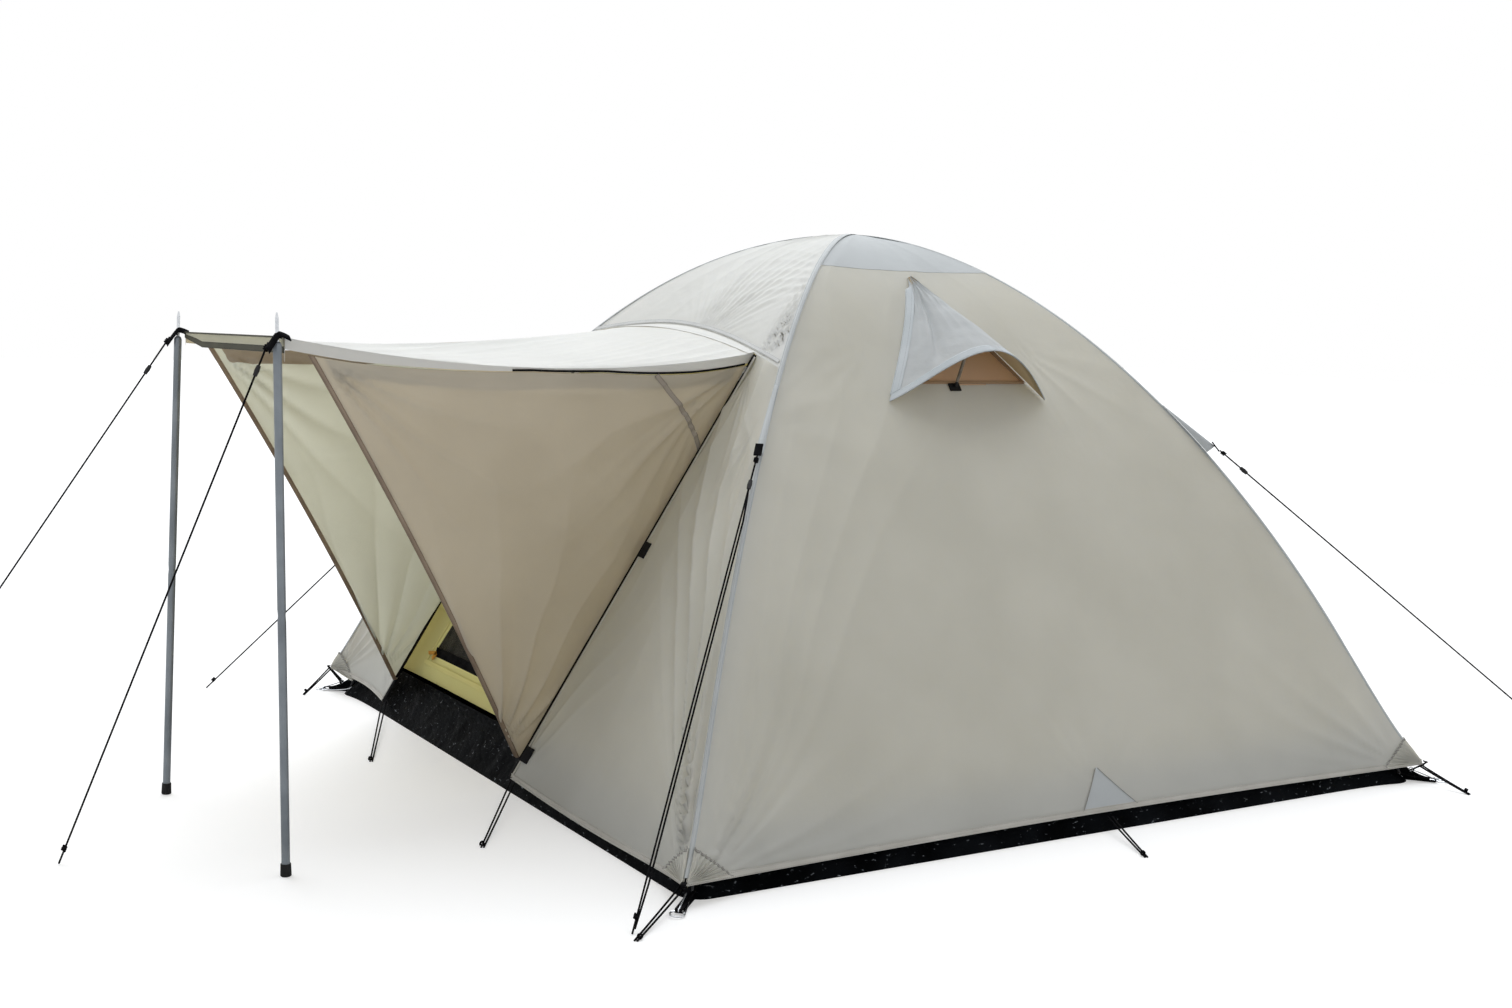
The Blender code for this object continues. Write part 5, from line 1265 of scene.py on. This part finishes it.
inner_cloth = woven("inner_cloth", ((0.95, 0.89, 0.36), (0.97, 0.92, 0.41)), glow=0.12,
                    glow_colour=(1.0, 0.94, 0.46))
inner_lining = woven("inner_lining", ((0.93, 0.86, 0.37), (0.96, 0.90, 0.42)), glow=0.85,
                     glow_colour=(1.0, 0.94, 0.50))


def inner_wall(start, end, across, height, dip=INNER_DIP, flat=2):
    return wall_at(start, end, across, height, INNER_HALF, INNER_HEIGHT, dip, flat, SEAM_GAP)


def inner_row(down):
    return row_height(down, TUB_HEIGHT + SEAM_GAP, INNER_HEIGHT)


for name, (start, end, along, outward, pulls) in WALLS.items():
    skin = draped(lambda across, down: inner_wall(start, end, across, inner_row(down)), along, 1.6, outward,
                  pulls[:4], drift=0.006, seed=12.0)
    sheet = panel(f"inner_{name}_sheet", skin, 90, 70, outward, [inner_cloth, inner_lining], (2.0, 1.6),
                  slot_name="inner_cloth")
    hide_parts(f"inner_{name}")


def inner_front(across, height):
    return inner_wall("left", "near", across, height, INNER_FRONT_DIP, 6)


def on_front(x, height, lift=0.0):
    """Point on the inner front wall at an x and a height, stood off by a lift."""
    left, near = (ridge_at(corner, height, INNER_HALF, INNER_HEIGHT) for corner in ("left", "near"))
    return Vector((x, inner_front((x - left.x) / (near.x - left.x), height).y - lift, height))


def door_half(height, border):
    """Half width of the leaning arch at a height, drawn in by a border."""
    half, top = DOOR_HALF - border, DOOR_TOP_HALF - border
    if height <= DOOR_SHOULDER:
        return half + (top - half) * (height - DOOR_SILL - border) / (DOOR_SHOULDER - DOOR_SILL - border)
    return top * math.sqrt(max(0.0, 1 - ((height - DOOR_SHOULDER) / (DOOR_ARCH - border)) ** 2))


def door_surface(border, behind=0.0):
    low, high = DOOR_SILL + border, DOOR_SHOULDER + DOOR_ARCH - border

    def skin(across, down):
        height = low + (high - low) * math.sin(math.pi / 2 * down)
        half = max(0.002, door_half(height, border))
        return on_front(DOOR_MIDDLE_X + (across * 2 - 1) * half, height, -behind)

    return skin


def outside_door(point, border):
    low, high = DOOR_SILL + border, DOOR_SHOULDER + DOOR_ARCH - border
    return not (low < point.z < high and abs(point.x - DOOR_MIDDLE_X) < door_half(point.z, border))


def front_base(across, down):
    return inner_front(across, inner_row(down))


skin = draped(front_base, ALONG_X, 1.6, FRONT_OUT, FRONT_PULLS["near"][:1] + FRONT_PULLS["far"][:1],
              drift=0.0030, seed=15.0)
front_wall = panel("inner_front_sheet", skin, 200, 160, FRONT_OUT, [inner_cloth, inner_lining], (2.0, 1.6),
                   keep=lambda across, down: outside_door(front_base(across, down), 0.0),
                   slot_name="inner_cloth")
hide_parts("inner_front")

# A yellow zip runs round the door's arch and another along its sill. The door is a border of the same
# cloth with a window of dark insect mesh, bound in yellow tape, with a black band and two orange pulls.
ARCH_START, BAND_HEIGHT, SILL_WAY = 0.42, 0.034, Vector((0, 0.3, 0.95))


def arch_line(border):
    """Round the door from one end of its sill over the arch to the other end."""
    def line(run):
        if run < ARCH_START or run > 1 - ARCH_START:
            part = run / ARCH_START if run < ARCH_START else (1 - run) / ARCH_START
            height = DOOR_SILL + border + (DOOR_SHOULDER - DOOR_SILL - border) * part
            x = DOOR_MIDDLE_X + door_half(height, border) * (-1 if run < 0.5 else 1)
        else:
            turn = math.pi * (1 - (run - ARCH_START) / (1 - 2 * ARCH_START))
            x = DOOR_MIDDLE_X + (DOOR_TOP_HALF - border) * math.cos(turn)
            height = DOOR_SHOULDER + (DOOR_ARCH - border) * math.sin(turn)
        return on_front(x, height, 0.0012)

    return line


def arch_tape(name, border, width, length, finish, steps, body="tent"):
    line = arch_line(border)

    def way(run):
        return (line(min(1.0, run + 0.006)) - line(max(0.0, run - 0.006))).cross(FRONT_OUT).normalized()

    return ribbon(name, line, way, FRONT_OUT, width, length, finish, steps, body=body, slot_name="inner_cloth")


def sill_tape(name, height, length, width, finish, lift=0.0012, thick=0.0012, body="tent", slot="inner_cloth"):
    return ribbon(name, lambda run: on_front(DOOR_MIDDLE_X + length * (run - 0.5), height, lift), SILL_WAY,
                  FRONT_OUT, width, length, finish, 60, thick, body=body, slot_name=slot)


door_zip = woven("door_zip", ((0.88, 0.80, 0.30), (0.92, 0.85, 0.34)), crumple=0.2)
window_tape = woven("window_tape", ((0.92, 0.85, 0.33), (0.96, 0.90, 0.38)), crumple=0.2)
door_zips = [arch_tape("inner_door_zip", -0.003, DOOR_ZIP, 1.8, door_zip, 160),
             sill_tape("inner_sill_zip", DOOR_SILL, 0.84, DOOR_ZIP, door_zip)]


def insect_mesh(name):
    made, tree, shader, coords, tint = material(name, ((0.018, 0.017, 0.014), (0.045, 0.042, 0.034)), 30, 0.85)
    shader.inputs["Alpha"].default_value = 0.82
    bumps(tree, shader, threads(tree, coords, 220.0, 0.4, 0.0002))
    return made


leaf = door_surface(0.001)
door_leaf = panel("inner_door_sheet", leaf, 150, 130, FRONT_OUT, [inner_cloth], (0.84, 0.76),
                  keep=lambda across, down: outside_door(leaf(across, down), WINDOW_BORDER),
                  body="door_panel", slot_name="inner_cloth")
window = panel("inner_door_window", door_surface(WINDOW_BORDER - 0.006, 0.0004), 60, 60, FRONT_OUT,
               [insect_mesh("insect_mesh")], (0.79, 0.70), 0.0006, body="door_panel", slot_name="mesh_cloth")
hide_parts("inner_door")
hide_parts("inner_door_mesh")
window_trims = [
    arch_tape("window_binding", WINDOW_BORDER, 0.016, 1.7, window_tape, 150, "door_panel"),
    sill_tape("window_sill_binding", DOOR_SILL + WINDOW_BORDER, 0.78, 0.016, window_tape, body="door_panel"),
    sill_tape("window_black_band", DOOR_SILL + BAND_HEIGHT, 0.76, 0.026, black_webbing, 0.0026, 0.0010,
              "door_panel", "mesh_cloth")]
orange_pull = grained("orange_pull", ((0.62, 0.27, 0.03), (0.74, 0.36, 0.05)), 0.6)
knot = Vector((DOOR_MIDDLE_X - 0.350, on_front(DOOR_MIDDLE_X - 0.39, 0.17).y - 0.006, DOOR_SILL + 0.036))
for count, (reach, climb) in enumerate(((-0.060, -0.010), (-0.034, -0.022))):
    window_trims.append(ribbon(
        f"door_pull_{count}", lambda run: knot + Vector((reach * run, 0, climb * run)),
        Vector((-climb, 0, reach)).normalized(), FRONT_OUT, 0.010, 0.06, orange_pull, 10, 0.0014,
        body="door_panel", slot_name="inner_cloth"))


# A plain pale floor and background, with soft light from above and a little behind, as under a bright
# sky. The floor keeps the tent's shadow, and the camera sees the background white.
FLOOR_HALF, FLOOR_GLOW, SKY_FILL = 30.0, 0.42, 0.45
SUN_STRENGTH, SUN_COLOUR, SUN_SPREAD, SUN_WAY = 2.75, (0.97, 1.0, 1.035), 70, Vector((-0.43, 0.18, 0.88))

floor_shape = bmesh.new()
bmesh.ops.create_grid(floor_shape, x_segments=8, y_segments=8, size=FLOOR_HALF)
floor_mesh = bpy.data.meshes.new("floor")
floor_shape.to_mesh(floor_mesh)
floor_shape.free()
floor = new_object("floor", floor_mesh)
pale, tree, shader, coords, tint = material("pale_floor", ((0.62, 0.62, 0.62), (0.64, 0.64, 0.64)), 0.4, 0.9)
glow = reckon(tree, "MULTIPLY", node(tree, "LightPath", {}).outputs["Is Camera Ray"], FLOOR_GLOW)
shader.inputs["Emission Color"].default_value = (1, 1, 1, 1)
tree.links.new(glow, shader.inputs["Emission Strength"])
floor_mesh.materials.append(pale)
floor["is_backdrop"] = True

sky = bpy.data.worlds.new("sky")
sky.use_nodes = True
bpy.context.scene.world = sky
tree = sky.node_tree
seen = node(tree, "LightPath", {}).outputs
direct = reckon(tree, "MAXIMUM", seen["Is Camera Ray"], seen["Is Glossy Ray"])
direct = reckon(tree, "MAXIMUM", direct, seen["Is Transmission Ray"])
strength = node(tree, "MapRange", {"Value": direct, "To Min": SKY_FILL, "To Max": 1.0})
tree.links.new(strength.outputs[0], tree.nodes["Background"].inputs["Strength"])
tree.nodes["Background"].inputs["Color"].default_value = (1, 1, 1, 1)

sun_data = bpy.data.lights.new("soft_sun", "SUN")
sun_data.energy = SUN_STRENGTH
sun_data.color = SUN_COLOUR
sun_data.angle = math.radians(SUN_SPREAD)
sun = new_object("soft_sun", sun_data)
sun.rotation_mode = "QUATERNION"
sun.rotation_quaternion = SUN_WAY.to_track_quat("Z", "Y")

scene = bpy.context.scene
scene.view_settings.view_transform = "Standard"
low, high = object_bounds()
